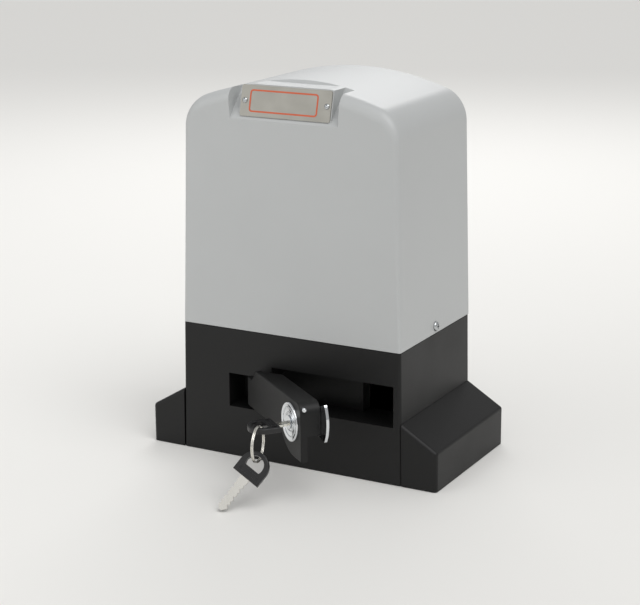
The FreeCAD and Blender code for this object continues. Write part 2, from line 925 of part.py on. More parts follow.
def lever_arm():
    """Low arm from the block to the hinge barrel, with the tail that works the release."""
    barrel = rod(
        hinge_barrel_radius, Vector(0, 0, lever_arm_bottom), Z_AXIS, lever_arm_top - lever_arm_bottom
    )
    web = block(
        -hinge_barrel_radius,
        lever_shoulder_end + 14,
        lever_plate_back - 0.5,
        2.5,
        lever_bottom,
        lever_arm_top,
    )
    tail = block(-tail_length, 0, -tail_half_width, tail_half_width, tail_bottom, tail_top)
    tip = rod(tail_half_width, Vector(-tail_length, 0, tail_bottom), Z_AXIS, tail_top - tail_bottom)
    return [barrel, web, tail, tip]


def release_lever():
    lever = joined([lever_plate(), lever_block()] + lever_arm())
    pin = rod(hinge_pin_radius + running_clearance, Vector(0, 0, 0), Z_AXIS, 120)
    lock_start = Vector(lock_reach, lever_face - 1, lock_height)
    bore = rod(lock_barrel_radius + seat_gap, lock_start, Y_AXIS, lever_block_depth + 5)
    pin_start = Vector(lever_reach - lock_pin_length - 0.1, lever_face + lock_pin_depth, lock_pin_height)
    side_hole = rod(lock_pin_radius + seat_gap, pin_start, X_AXIS, lock_pin_length + 2)
    return as_stored(lever.cut([pin, bore, side_hole]))


def lever_pin():
    length = tail_slot_height + 2 * window_wall - 1
    start = Vector(hinge_x, hinge_y, tail_slot_bottom - window_wall + 0.5)
    return rod(hinge_pin_radius, start, Z_AXIS, length)


# ---------------------------------------------------------------- lock, cam and keys
lock_axis_front = lever_face - lock_face_thickness
key_height = lock_height - keyway_drop


def lock_barrel():
    """Round lock with a dished face plate on the lever's front."""
    centre = Vector(lock_reach, lever_face - press_gap, lock_height)
    face = rod(lock_face_radius, centre, Y_AXIS * -1, lock_face_thickness)
    rim = [
        edge for edge in face.Edges if abs(edge.BoundBox.YMax - (centre.y - lock_face_thickness)) < flush
    ]
    face = face.makeFillet(1.0, rim)
    body = rod(lock_barrel_radius, centre, Y_AXIS, lever_block_depth - 0.5)
    bore = rod(lock_plug_radius + running_clearance, centre - Y_AXIS * 10, Y_AXIS, lever_block_depth + 20)
    dish_sphere = (lock_dish_radius**2 + lock_dish_depth**2) / 2 / lock_dish_depth
    dish_centre = Vector(lock_reach, lock_axis_front + lock_dish_depth - dish_sphere, lock_height)
    dish = Part.makeSphere(dish_sphere, dish_centre)
    return as_stored(joined([face, body]).cut([bore, dish]))


def lock_plug():
    """Turning plug with a keyway that stands across in the unlocked position."""
    start = Vector(lock_reach, lock_axis_front - lock_plug_rim, lock_height)
    length = lever_block_back + contact_gap + cam_thickness + cam_nut_height + 0.6 - start.y
    plug = rod(lock_plug_radius, start, Y_AXIS, length)
    keyway = block(
        lock_reach - keyway_length / 2,
        lock_reach + keyway_length / 2,
        start.y - 1,
        start.y + key_insertion + 1,
        key_height - keyway_width / 2,
        key_height + keyway_width / 2,
    )
    keyway = keyway.common(rod(lock_plug_radius - 0.8, start - Y_AXIS * 2, Y_AXIS, length + 4))
    return as_stored(plug.cut(keyway))


def lock_cam():
    """Steel latch: a round hub with a flared tongue whose tip is bent back."""
    start = lever_block_back + contact_gap
    hub = rod(cam_hub_radius, Vector(lock_reach, start, lock_height), Y_AXIS, cam_thickness)
    tip = lock_reach + cam_reach
    rise = cam_half_height
    middle = lock_height + cam_rise
    low = (tip - 5, middle - rise)
    high = (tip - 5, middle + rise)
    edges = [
        line((lock_reach, lock_height - cam_hub_radius + 0.5), low),
        arc(low, (tip, middle), high),
        line(high, (lock_reach, lock_height + cam_hub_radius - 0.5)),
        line(
            (lock_reach, lock_height + cam_hub_radius - 0.5),
            (lock_reach, lock_height - cam_hub_radius + 0.5),
        ),
    ]
    tongue = upright_plate(edges, start, start + cam_thickness)
    hooked = rise * 0.7
    hook_edges = [
        arc((tip - 5, middle - hooked), (tip - 2.4, middle), (tip - 5, middle + hooked)),
        line((tip - 5, middle + hooked), (tip - 7.5, middle + hooked)),
        arc((tip - 7.5, middle + hooked), (tip - 4.9, middle), (tip - 7.5, middle - hooked)),
        line((tip - 7.5, middle - hooked), (tip - 5, middle - hooked)),
    ]
    hook = upright_plate(hook_edges, start + 0.5, start + cam_thickness + cam_hook_depth)
    cam = joined([hub, tongue, hook])
    hole = rod(lock_plug_radius + press_gap, Vector(lock_reach, start - 1, lock_height), Y_AXIS, 6)
    return as_stored(cam.cut(hole))


def cam_nut():
    """Flat nut on the plug's rear end that holds the latch."""
    seat = Vector(lock_reach, lever_block_back + contact_gap + cam_thickness + seat_gap, lock_height)
    nut = hex_prism(cam_nut_across, seat, Y_AXIS, cam_nut_height)
    bore = rod(lock_plug_radius + press_gap, seat - Y_AXIS, Y_AXIS, cam_nut_height + 2)
    return as_stored(nut.cut(bore))


def lock_pin():
    start = Vector(lever_reach - lock_pin_length, lever_face + lock_pin_depth, lock_pin_height)
    return as_stored(rod(lock_pin_radius, start, X_AXIS, lock_pin_length))


def key_blade_shape():
    """Flat blade along +Y from the origin, with cuts on both edges and a milled groove."""
    half = key_blade_width / 2
    length = key_blade_length
    cuts = [(0.18, 0.9), (0.3, 2.2), (0.42, 1.2), (0.55, 2.4), (0.68, 1.4), (0.8, 2.0)]
    right = [Vector(half, 0, 0)]
    left = [Vector(-half, 0, 0)]
    for share, depth in cuts:
        y = length * share
        right.append(Vector(half, y - 1.6, 0))
        right.append(Vector(half - depth, y, 0))
        left.append(Vector(-half, y - 0.4, 0))
        left.append(Vector(-half + depth * 0.8, y + 1.2, 0))
    right.append(Vector(half, length - 4.2, 0))
    right.append(Vector(1.4, length, 0))
    left.append(Vector(-half, length - 3.6, 0))
    left.append(Vector(-1.4, length, 0))
    blade = extruded(polygon(right + left[::-1]), Vector(0, 0, key_blade_thickness))
    blade.translate(Vector(0, 0, -key_blade_thickness / 2))
    groove = block(-0.8, 0.8, 3, length - 5, key_blade_thickness / 2 - 0.5, key_blade_thickness)
    tang = block(-half + 1, half - 1, -8, 0.5, -key_blade_thickness / 2, key_blade_thickness / 2)
    return joined([blade.cut(groove), tang])


def key_bow_shape():
    """Moulded head behind the blade: straight shoulders, rounded back and a D-shaped eye."""
    half = key_bow_width / 2
    back = -key_bow_length
    shoulder = Vector(half, 0, 0)
    waist = Vector(half, back * 0.42, 0)
    outline = Part.Wire(
        [
            Part.LineSegment(Vector(-half, 0, 0), shoulder).toShape(),
            Part.LineSegment(shoulder, waist).toShape(),
            Part.Arc(waist, Vector(0, back, 0), Vector(-half, waist.y, 0)).toShape(),
            Part.LineSegment(Vector(-half, waist.y, 0), Vector(-half, 0, 0)).toShape(),
        ]
    )
    bow = extruded(outline, Vector(0, 0, key_bow_thickness))
    bow.translate(Vector(0, 0, -key_bow_thickness / 2))
    flats = [edge for edge in bow.Edges if abs(abs(edge.CenterOfMass.z) - key_bow_thickness / 2) < flush]
    bow = bow.makeFillet(0.8, flats)
    eye_front = back + key_rim + key_eye_depth
    eye_half = key_eye_width / 2
    eye = Part.Wire(
        [
            Part.LineSegment(Vector(-eye_half, eye_front, 0), Vector(eye_half, eye_front, 0)).toShape(),
            Part.Arc(
                Vector(eye_half, eye_front, 0),
                Vector(0, back + key_rim, 0),
                Vector(-eye_half, eye_front, 0),
            ).toShape(),
        ]
    )
    hole = extruded(eye, Vector(0, 0, key_bow_thickness + 4))
    hole.translate(Vector(0, 0, -key_bow_thickness / 2 - 2))
    slot = block(
        -key_blade_width / 2 + 1 - seat_gap,
        key_blade_width / 2 - 1 + seat_gap,
        -8.05,
        1,
        -key_blade_thickness / 2 - seat_gap,
        key_blade_thickness / 2 + seat_gap,
    )
    return bow.cut([hole, slot])


def in_lock(shape):
    """Puts a key piece into the lock: blade inwards, flat lying level."""
    placed = shape.copy()
    root = lock_axis_front - lock_plug_rim + key_insertion - key_blade_length
    placed.translate(Vector(lock_reach, root, key_height))
    return as_stored(placed)


def key_blade():
    return in_lock(key_blade_shape())


def key_head():
    return in_lock(key_bow_shape())


def ring_place():
    """Centre of the key ring in the closed lever's frame, hanging over the rim of the bow."""
    root = lock_axis_front - lock_plug_rim + key_insertion - key_blade_length
    half = key_eye_width / 2
    eye_radius = (half * half + key_eye_depth * key_eye_depth) / 2 / key_eye_depth
    eye_centre = root - key_bow_length + key_rim + eye_radius
    turn = math.radians(ring_turn)
    drop = key_ring_radius - key_bow_thickness / 2 - key_ring_wire - ring_slack
    return Vector(
        lock_reach + ring_seat * math.cos(turn),
        eye_centre - ring_seat * math.sin(turn),
        key_height - drop,
    )


def key_ring():
    turn = math.radians(ring_turn)
    axis = Vector(math.sin(turn), math.cos(turn), 0)
    start = ring_place() - axis * (key_ring_band / 2)
    band = ring(
        key_ring_radius + key_ring_wire, key_ring_radius - key_ring_wire, start, axis, key_ring_band
    )
    edges = [edge for edge in band.Edges if edge.Closed]
    return as_stored(band.makeFillet(0.4, edges))


def spare_placed(shape):
    """Hangs a key piece on the ring's lowest point, leaning so that its tip meets the ground."""
    placed = shape.copy()
    placed.translate(Vector(0, key_bow_length - key_rim - key_ring_wire - spare_slack, 0))
    placed.rotate(ORIGIN, Y_AXIS, spare_spin)
    placed.rotate(ORIGIN, X_AXIS, -90 - spare_lean)
    placed.rotate(ORIGIN, Z_AXIS, spare_turn)
    centre = as_stored(Part.Vertex(ring_place())).Point
    placed.translate(centre - Vector(0, 0, key_ring_radius))
    return placed


def spare_key_blade():
    return spare_placed(key_blade_shape())


def spare_key_head():
    return spare_placed(key_bow_shape())


# ---------------------------------------------------------------- gears
def involute(angle):
    return math.tan(angle) - angle


def gear_outline(teeth, module, thinning, root_extra, turn):
    """Closed outline in the XZ plane of a spur gear with involute flanks; a gap faces +X at turn 0."""
    pressure = math.radians(pressure_angle)
    pitch = teeth * module / 2
    base = pitch * math.cos(pressure)
    tip = pitch + module * 0.95
    root = pitch - module * 1.2 - root_extra
    half_pitch = (math.pi * module / 2 - thinning) / 2 / pitch
    lowest = max(base * 1.0005, root)

    def flank(radius):
        return half_pitch + involute(pressure) - involute(math.acos(base / radius))

    def at(radius, angle):
        return Vector(radius * math.cos(angle), 0, radius * math.sin(angle))

    edges = []
    step = 2 * math.pi / teeth
    for tooth in range(teeth):
        centre = turn + step * (tooth + 0.5)
        following = centre + step
        rising = [at(r, centre - flank(r)) for r in (lowest, (lowest + tip) / 2, tip)]
        falling = [at(r, centre + flank(r)) for r in (tip, (lowest + tip) / 2, lowest)]
        edges.append(Part.Arc(*rising).toShape())
        edges.append(Part.Arc(rising[2], at(tip, centre), falling[0]).toShape())
        edges.append(Part.Arc(*falling).toShape())
        bottom_start = at(root, centre + flank(lowest))
        bottom_end = at(root, following - flank(lowest))
        if lowest > root + flush:
            edges.append(Part.LineSegment(falling[2], bottom_start).toShape())
        edges.append(Part.Arc(bottom_start, at(root, centre + step / 2), bottom_end).toShape())
        if lowest > root + flush:
            edges.append(Part.LineSegment(bottom_end, at(lowest, following - flank(lowest))).toShape())
    return Part.Wire(edges)


def helical_gear(teeth, module, thinning, root_extra, width, twist):
    """Gear body along Y from 0 to width, its teeth twisted by an angle over the width."""
    wires = []
    for share in (0.0, 1.0):
        outline = gear_outline(teeth, module, thinning, root_extra, (share - 0.5) * twist)
        outline.translate(Vector(0, width * share, 0))
        wires.append(outline)
    return Part.makeLoft(wires, True, True)


def dog_positions():
    return [360.0 * index / dog_count + 180.0 / dog_count for index in range(dog_count)]


def dog(radius_inner, radius_outer, start_y, length, clearance):
    """Set of dog teeth about the drive axis."""
    teeth = []
    for angle in dog_positions():
        half = dog_width / 2 + clearance
        tooth = block(
            radius_inner - clearance, radius_outer + clearance, start_y, start_y + length, -half, half
        )
        tooth.rotate(ORIGIN, Y_AXIS, angle)
        teeth.append(tooth)
    return teeth


def on_drive_axis(shape):
    placed = shape.copy()
    placed.translate(Vector(drive_x, 0, drive_height))
    return placed


def worm_wheel():
    """Bronze worm wheel with a hub, lightening pockets and dog slots in its rear face."""
    lead_angle = math.atan(wheel_module / (2 * worm_pitch_radius))
    twist = -wheel_width * math.tan(lead_angle) / wheel_pitch_radius
    rim = helical_gear(
        wheel_teeth, wheel_module, mesh_backlash / 2, mesh_tip_clearance, wheel_width, twist
    )
    rim.translate(Vector(0, wheel_front, 0))
    web_room = 5.0
    pocket_outer = wheel_pitch_radius - 7
    cuts = []
    for face, depth in ((wheel_front - 1, web_room + 1), (wheel_rear - web_room, web_room + 1)):
        cuts.append(ring(pocket_outer, wheel_hub_radius + 1.5, Vector(0, face, 0), Y_AXIS, depth))
    cuts.append(
        rod(shaft_radius + wheel_bore_clearance, Vector(0, wheel_front - 10, 0), Y_AXIS, wheel_width + 30)
    )
    wheel = rim.cut(cuts)
    slots = dog(
        shaft_radius + 1.5, sleeve_radius - 0.5, wheel_rear - dog_length - 0.5, dog_length + 5, 0.3
    )
    return on_drive_axis(wheel.cut(slots))


sleeve_front = wheel_rear + contact_gap + sleeve_lead


def clutch_sleeve():
    """Sliding dog sleeve on the shaft, driven by the cross pin."""
    body = rod(sleeve_radius, Vector(0, sleeve_front, 0), Y_AXIS, sleeve_length)
    teeth = dog(shaft_radius + 2, sleeve_radius - 1, sleeve_front - dog_length, dog_length + 1, 0.0)
    sleeve = body.fuse(teeth)
    groove = ring(
        sleeve_radius + 1, sleeve_radius - 2, Vector(0, sleeve_front + sleeve_length - 4, 0), Y_AXIS, 2
    )
    bore = rod(shaft_radius + running_clearance, Vector(0, sleeve_front - 10, 0), Y_AXIS, 40)
    pin_y = sleeve_front + sleeve_length / 2
    pin_hole = rod(cross_pin_radius + press_gap, Vector(0, pin_y, -30), Z_AXIS, 60)
    return on_drive_axis(sleeve.cut([groove, bore, pin_hole]))


def clutch_pin():
    pin_y = sleeve_front + sleeve_length / 2
    length = 2 * (sleeve_radius - 2.4)
    return on_drive_axis(rod(cross_pin_radius, Vector(0, pin_y, -length / 2), Z_AXIS, length))


def clutch_spring():
    """Coil spring between the sleeve and the shaft's collar."""
    start = sleeve_front + sleeve_length + 0.2
    end = collar_front - 0.3
    height = end - start - 2 * spring_wire
    helix = Part.makeHelix(height / spring_coils, height, spring_mean_radius)
    wire = Part.Wire(Part.makeCircle(spring_wire, Vector(spring_mean_radius, 0, 0), Y_AXIS))
    spring = Part.Wire(helix).makePipeShell([wire], True, True)
    spring.rotate(ORIGIN, X_AXIS, -90)
    spring.translate(Vector(0, start + spring_wire, 0))
    return on_drive_axis(spring)


pin_slot_travel = clutch_travel_per_degree * 90


def output_shaft():
    """Stepped hollow shaft with a cross slot for the clutch pin and a keyed tail for the pinion."""
    body = rod(shaft_radius, Vector(0, shaft_front, 0), Y_AXIS, shaft_rear - shaft_front)
    ends = []
    for edge in body.Edges:
        if edge.Closed:
            ends.append(edge)
    body = body.makeChamfer(0.8, ends)
    body = body.fuse(rod(shaft_radius + collar_rise, Vector(0, collar_front, 0), Y_AXIS, collar_width))
    bore = rod(
        shaft_bore_radius, Vector(0, shaft_front - 1, 0), Y_AXIS, shaft_bore_rear - shaft_front + 1
    )
    pin_y = sleeve_front + sleeve_length / 2
    front = pin_y - sleeve_lead - cross_pin_radius - 0.3
    rear = pin_y - sleeve_lead + pin_slot_travel + cross_pin_radius + 0.3
    half = cross_pin_radius + 0.1
    slot = block(-half, half, front, rear, -20, 20)
    keyway = block(
        -key_stock / 2,
        key_stock / 2,
        pinion_front + 2,
        pinion_front + pinion_width - 2,
        shaft_radius - 4,
        20,
    )
    thread = rod(shaft_bolt_radius + seat_gap, Vector(0, shaft_rear - 22, 0), Y_AXIS, 30)
    return on_drive_axis(body.cut([bore, slot, keyway, thread]))


def shaft_key():
    low = shaft_radius - 4 + press_gap
    body = block(
        -key_stock / 2 + press_gap,
        key_stock / 2 - press_gap,
        pinion_front + 2.1,
        pinion_front + pinion_width - 2.1,
        low,
        low + 7.0,
    )
    return on_drive_axis(body)


def drive_pinion():
    """Rack pinion: sixteen involute teeth, a hub towards the housing, keyed bore."""
    outline = gear_outline(pinion_teeth, pinion_module, 0.2, 0.0, 0.0)
    outline.translate(Vector(0, pinion_front, 0))
    teeth = extruded(outline, Vector(0, pinion_width, 0))
    hub = rod(
        pinion_hub_radius, Vector(0, pinion_front - pinion_hub_length, 0), Y_AXIS, pinion_hub_length + 1
    )
    bore = rod(shaft_radius + press_gap, Vector(0, pinion_front - 10, 0), Y_AXIS, pinion_width + 20)
    keyway = block(
        -key_stock / 2,
        key_stock / 2,
        pinion_front - 10,
        pinion_front + pinion_width + 1,
        0,
        shaft_radius + 3.3,
    )
    relief = ring(
        pinion_teeth * pinion_module / 2 - 9,
        18,
        Vector(0, pinion_front + pinion_width - 2, 0),
        Y_AXIS,
        3,
    )
    return on_drive_axis(teeth.fuse(hub).cut([bore, keyway, relief]))


def pinion_washer():
    start = Vector(0, pinion_front + pinion_width + seat_gap, 0)
    return on_drive_axis(ring(washer_radius, shaft_bolt_radius + 0.3, start, Y_AXIS, washer_thickness))


def pinion_bolt():
    seat = Vector(0, pinion_front + pinion_width + 2 * seat_gap + washer_thickness, 0)
    head = hex_prism(shaft_bolt_across, seat, Y_AXIS, shaft_bolt_head)
    shank = rod(shaft_bolt_radius, seat, Y_AXIS * -1, 20)
    return on_drive_axis(joined([head, shank]))


def ball_bearing(outer, inner, width, start, axis):
    """Closed bearing: two races and a shield between them, as one solid."""
    races = ring(outer, inner, start, axis, width)
    grooves = []
    for offset in (0.0, width - 0.8):
        grooves.append(
            ring(outer - bearing_race * 0.6, inner + bearing_race * 0.6, start + axis * offset, axis, 0.8)
        )
    return races.cut(grooves)


def output_bearings():
    front = Vector(0, shaft_front + 1, 0)
    rear = Vector(0, rear_bearing_y, 0)
    inner = shaft_radius + press_gap
    outer = bearing_radius
    pair = [ball_bearing(outer, inner, bearing_width, place, Y_AXIS) for place in (front, rear)]
    return on_drive_axis(group(pair))


def oil_seal():
    start = Vector(0, casting_rear - 1.0 - seal_width, 0)
    seal = ring(bearing_radius, shaft_radius + seal_gap, start, Y_AXIS, seal_width)
    groove = ring(bearing_radius - 3, shaft_radius + 2.5, start + Y_AXIS * 3, Y_AXIS, 3)
    return on_drive_axis(seal.cut(groove))


# ---------------------------------------------------------------- worm and rotor
worm_pitch_length = math.pi * wheel_module


def worm_shaft():
    """Motor shaft with the single-start worm cut on its lower end."""
    tip = worm_pitch_radius + wheel_module * 0.95
    root = worm_pitch_radius - wheel_module * 1.2
    low = drive_height - worm_length / 2
    flank = math.tan(math.radians(pressure_angle))
    half_mid = (math.pi * wheel_module / 2 - mesh_backlash / 2) / 2
    buried = root - 0.4
    turns = int((worm_length - 6) / worm_pitch_length)
    helix = Part.makeHelix(worm_pitch_length, worm_pitch_length * turns, worm_pitch_radius)
    half_root = half_mid + (worm_pitch_radius - buried) * flank
    half_tip = half_mid - (tip - worm_pitch_radius) * flank
    profile = polygon(
        [
            Vector(buried, 0, -half_root),
            Vector(tip, 0, -half_tip),
            Vector(tip, 0, half_tip),
            Vector(buried, 0, half_root),
        ]
    )
    thread = Part.Wire(helix).makePipeShell([profile], True, True)
    start = drive_height - (turns / 2 + 0.5) * worm_pitch_length
    if turns % 2:
        start = drive_height - turns / 2 * worm_pitch_length
    thread.translate(Vector(0, 0, start))
    core = rod(root, Vector(0, 0, start - 3), Z_AXIS, worm_pitch_length * (turns + 1) + 4)
    lower_journal = rod(rotor_shaft_radius, Vector(0, 0, casting_bottom + 7), Z_AXIS, drive_height)
    upper = rod(rotor_shaft_radius, Vector(0, 0, drive_height), Z_AXIS, motor_top + 14 - drive_height)
    shaft = core.fuse([thread, lower_journal, upper])
    shaft.translate(Vector(worm_x, worm_y, 0))
    return shaft


def on_motor_axis(shape):
    placed = shape.copy()
    placed.translate(Vector(worm_x, worm_y, 0))
    return placed


def rotor_core():
    """Laminated rotor pack with end rings."""
    inner = rotor_shaft_radius + press_gap
    low = stator_bottom - 1
    pack = ring(stator_bore - rotor_gap, inner, Vector(0, 0, low), Z_AXIS, stator_height + 2)
    rings = []
    for z in (low - 5, low + stator_height + 2):
        rings.append(ring(stator_bore - rotor_gap - 2, stator_bore - 9, Vector(0, 0, z), Z_AXIS, 5))
    return on_motor_axis(joined([pack] + rings))


def motor_bearings():
    low = ball_bearing(
        rotor_bearing_radius,
        rotor_shaft_radius + press_gap,
        rotor_bearing_width,
        Vector(0, 0, motor_base + 3),
        Z_AXIS,
    )
    high = ball_bearing(
        rotor_bearing_radius,
        rotor_shaft_radius + press_gap,
        rotor_bearing_width,
        Vector(0, 0, motor_top - rotor_bearing_width - 3),
        Z_AXIS,
    )
    foot = ball_bearing(
        rotor_bearing_radius,
        rotor_shaft_radius + press_gap,
        rotor_bearing_width,
        Vector(0, 0, casting_bottom + 7),
        Z_AXIS,
    )
    return on_motor_axis(group([low, high, foot]))


def motor_stator():
    """Lamination stack with slots towards the rotor and clamping ears."""
    stack = ring(motor_radius, stator_bore, Vector(0, 0, stator_bottom), Z_AXIS, stator_height)
    slots = []
    for index in range(12):
        angle = math.radians(30 * index)
        direction = Vector(math.cos(angle), math.sin(angle), 0)
        slot = block(stator_bore - 1, winding_outer - 3, -2.5, 2.5, stator_bottom - 1, stator_top + 1)
        slot.rotate(ORIGIN, Z_AXIS, math.degrees(math.atan2(direction.y, direction.x)))
        slots.append(slot)
    return on_motor_axis(stack.cut(slots))


def motor_windings():
    """Bundled end turns above and below the lamination stack."""
    coils = []
    for low in (stator_bottom - winding_height - press_gap, stator_top + press_gap):
        coil = ring(winding_outer, winding_inner, Vector(0, 0, low), Z_AXIS, winding_height)
        outer_edges = [
            edge for edge in coil.Edges if edge.Closed and abs(edge.Curve.Radius - winding_outer) < flush
        ]
        coils.append(coil.makeFillet(4.0, outer_edges))
    return on_motor_axis(group(coils))


def bolt_corners():
    places = []
    for index in range(4):
        angle = math.radians(45 + 90 * index)
        places.append((motor_bolt_circle * math.cos(angle), motor_bolt_circle * math.sin(angle)))
    return places


def motor_bell(low, height, closed_low):
    """End bell: a cup with a bearing seat, four bolt ears and vent slots."""
    wall = 4.0
    cup = rod(motor_radius + 1, Vector(0, 0, low), Z_AXIS, height)
    room_low = low + wall if closed_low else low - 1
    room = rod(
        motor_radius - wall + 1,
        Vector(0, 0, room_low),
        Z_AXIS,
        height - wall + (0 if closed_low else 1),
    )
    cup = cup.cut(room)
    seat_height = rotor_bearing_width + 3
    seat_low = low if closed_low else low + height - seat_height
    seat = rod(rotor_bearing_radius + 4, Vector(0, 0, seat_low), Z_AXIS, seat_height)
    ears = []
    for x, y in bolt_corners():
        ears.append(rod(6.0, Vector(x, y, low), Z_AXIS, height))
    bell = cup.fuse([seat] + ears)
    cuts = []
    seat_start = low + 3 if closed_low else low + height - rotor_bearing_width - 3
    cuts.append(
        rod(rotor_bearing_radius + press_gap, Vector(0, 0, seat_start), Z_AXIS, rotor_bearing_width + 0.5)
    )
    cuts.append(rod(rotor_shaft_radius + 1, Vector(0, 0, low - 1), Z_AXIS, height + 2))
    for x, y in bolt_corners():
        cuts.append(rod(motor_bolt_radius + 0.3, Vector(x, y, low - 1), Z_AXIS, height + 2))
    inside = rod(motor_radius - wall + 1, Vector(0, 0, room_low), Z_AXIS, height - wall)
    keep = rod(rotor_bearing_radius + 4, Vector(0, 0, low - 1), Z_AXIS, height + 2)
    cuts.append(inside.cut(keep))
    for index in range(4):
        vent = block(motor_radius - 8, motor_radius + 5, -9, 9, low + 7, low + height - 9)
        vent.rotate(ORIGIN, Z_AXIS, 90 * index)
        cuts.append(vent)
    return on_motor_axis(bell.cut(cuts).removeSplitter())


def motor_lower_bell():
    return motor_bell(motor_base, motor_bell_height, True)


def motor_upper_bell():
    return motor_bell(stator_top, motor_bell_height, False)


def motor_bolts():
    bolts = []
    for x, y in bolt_corners():
        seat = Vector(x, y, motor_top + seat_gap)
        bolts.append(
            screw(4.4, 4.0, motor_bolt_radius, motor_top - motor_base + flange_plate - 1, seat, Z_AXIS * -1)
        )
    return on_motor_axis(group(bolts))


def cooling_fan():
    """Plastic fan on the shaft's top: hub, disc and raked blades."""
    low = motor_top + 2.5
    hub = rod(11, Vector(0, 0, low), Z_AXIS, fan_height - 4)
    disc = rod(fan_radius, Vector(0, 0, low), Z_AXIS, 2)
    blades = []
    for index in range(fan_blades):
        blade = block(9, fan_radius - 1, -0.9, 0.9, low + 1, low + fan_height)
        blade.rotate(Vector(9, 0, 0), Z_AXIS, 25)
        blade.rotate(ORIGIN, Z_AXIS, 360.0 * index / fan_blades)
        blades.append(blade)
    fan = hub.fuse([disc] + blades)
    fan = fan.common(rod(fan_radius, Vector(0, 0, low - 1), Z_AXIS, fan_height + 2))
    return on_motor_axis(fan.cut(rod(rotor_shaft_radius + press_gap, Vector(0, 0, low - 1), Z_AXIS, 40)))


# ---------------------------------------------------------------- gearbox casting
def drive_point(y):
    return Vector(drive_x, y, drive_height)


wheel_room_radius = wheel_pitch_radius + wheel_module + wheel_room
worm_room_radius = worm_pitch_radius + wheel_module + worm_room
neck_radius = bearing_radius + casting_wall


def gearbox_housing():
    """Aluminium casting round the wheel, the clutch and the worm, with the motor flange on top."""
    drum = rod(
        wheel_room_radius + casting_wall,
        drive_point(casting_front),
        Y_AXIS,
        casting_neck_y - casting_front,
    )
    neck = rod(neck_radius, drive_point(casting_neck_y - 1), Y_AXIS, casting_rear - casting_neck_y + 1)
    tower = rod(
        worm_room_radius + casting_wall,
        Vector(worm_x, worm_y, casting_bottom),
        Z_AXIS,
        flange_height - casting_bottom + 1,
    )
    top = rod(motor_radius + 1, Vector(worm_x, worm_y, flange_height), Z_AXIS, flange_plate)
    pads = []
    for x, y in bolt_corners():
        pads.append(rod(7.0, Vector(worm_x + x, worm_y + y, flange_height - 6), Z_AXIS, flange_plate + 6))
    feet = []
    for x, y in gearbox_feet():
        feet.append(rod(gearbox_foot_radius, Vector(x, y, casting_bottom - 6), Z_AXIS, 8))
        reach = block(min(x, drive_x), max(x, drive_x), y - 5, y + 5, casting_bottom, casting_bottom + 8)
        reach = reach.cut(rod(wheel_room_radius + 1, drive_point(casting_front - 1), Y_AXIS, 200))
        feet.append(reach)
    shelf = block(
        drive_x - 26,
        drive_x + 8,
        worm_y - 30,
        worm_y + 16,
        drive_height + wheel_room_radius - 3,
        flange_height + flange_plate + 8,
    )
    shelf = shelf.cut(rod(motor_radius + 3, Vector(worm_x, worm_y, motor_base - 1), Z_AXIS, 60))
    casting = drum.fuse([neck, tower, top, shelf] + pads + feet)
    cuts = [
        rod(
            wheel_room_radius,
            drive_point(casting_front - 1),
            Y_AXIS,
            casting_neck_y - casting_wall - casting_front + 1,
        ),
        rod(
            sleeve_radius + 1.5,
            drive_point(casting_neck_y - casting_wall - 1),
            Y_AXIS,
            rear_bearing_y - casting_neck_y + casting_wall + 1,
        ),
        rod(bearing_radius + press_gap, drive_point(rear_bearing_y - press_gap), Y_AXIS, 40),
        rod(
            worm_room_radius,
            Vector(worm_x, worm_y, casting_bottom + 18),
            Z_AXIS,
            flange_height - casting_bottom - 26,
        ),
        rod(rotor_bearing_radius + press_gap, Vector(worm_x, worm_y, casting_bottom + 6.98), Z_AXIS, 20),
        rod(rotor_shaft_radius + 3, Vector(worm_x, worm_y, casting_bottom + 20), Z_AXIS, 200),
    ]
    for x, y in bolt_corners():
        hole = rod(
            motor_bolt_radius + seat_gap, Vector(worm_x + x, worm_y + y, flange_height - 5), Z_AXIS, 40
        )
        cuts.append(hole)
    for x, y in gearbox_feet():
        cuts.append(
            rod(gearbox_bolt_radius + screw_clearance, Vector(x, y, 0), Z_AXIS, casting_bottom + 20)
        )
        cuts.append(rod(gearbox_bolt_radius * 2 + 0.6, Vector(x, y, casting_bottom + 2.0), Z_AXIS, 40))
    for x, z in cover_bolt_places():
        cuts.append(rod(1.9, Vector(x, casting_front - 1, z), Y_AXIS, 12))
    for x, y in bracket_screw_places():
        cuts.append(rod(1.6, Vector(x, y, shelf_top() - 10), Z_AXIS, 20))
    return casting.cut(cuts).removeSplitter()


def shelf_top():
    return flange_height + flange_plate + 8


def bracket_screw_places():
    return [(drive_x - bracket_screw_offset, worm_y - 22), (drive_x - bracket_screw_offset, worm_y + 8)]


def cover_bolt_places():
    places = []
    radius = wheel_room_radius + casting_wall / 2
    for index in range(6):
        angle = math.radians(60 * index + 30)
        places.append((drive_x + radius * math.cos(angle), drive_height + radius * math.sin(angle)))
    return places


def gearbox_cover():
    """Front plate of the gearbox with the front bearing seat and a stiffening ring."""
    start = casting_front - gearbox_cover_thickness
    disc = rod(wheel_room_radius + casting_wall, drive_point(start), Y_AXIS, gearbox_cover_thickness)
    seat = rod(
        bearing_radius + 4, drive_point(start), Y_AXIS, gearbox_cover_thickness + bearing_width + 1
    )
    raised = ring(wheel_room_radius - 4, wheel_room_radius - 7, drive_point(start - 1.5), Y_AXIS, 2)
    plate = disc.fuse([seat, raised])
    cuts = [
        rod(bearing_radius + press_gap, drive_point(shaft_front + 0.98), Y_AXIS, 40),
        rod(rod_radius + 1.5, drive_point(start - 5), Y_AXIS, 60),
        rod(shaft_radius + 1, drive_point(shaft_front - 1), Y_AXIS, 60),
    ]
    for x, z in cover_bolt_places():
        cuts.append(rod(2.2, Vector(x, start - 5, z), Y_AXIS, 20))
    return plate.cut(cuts)


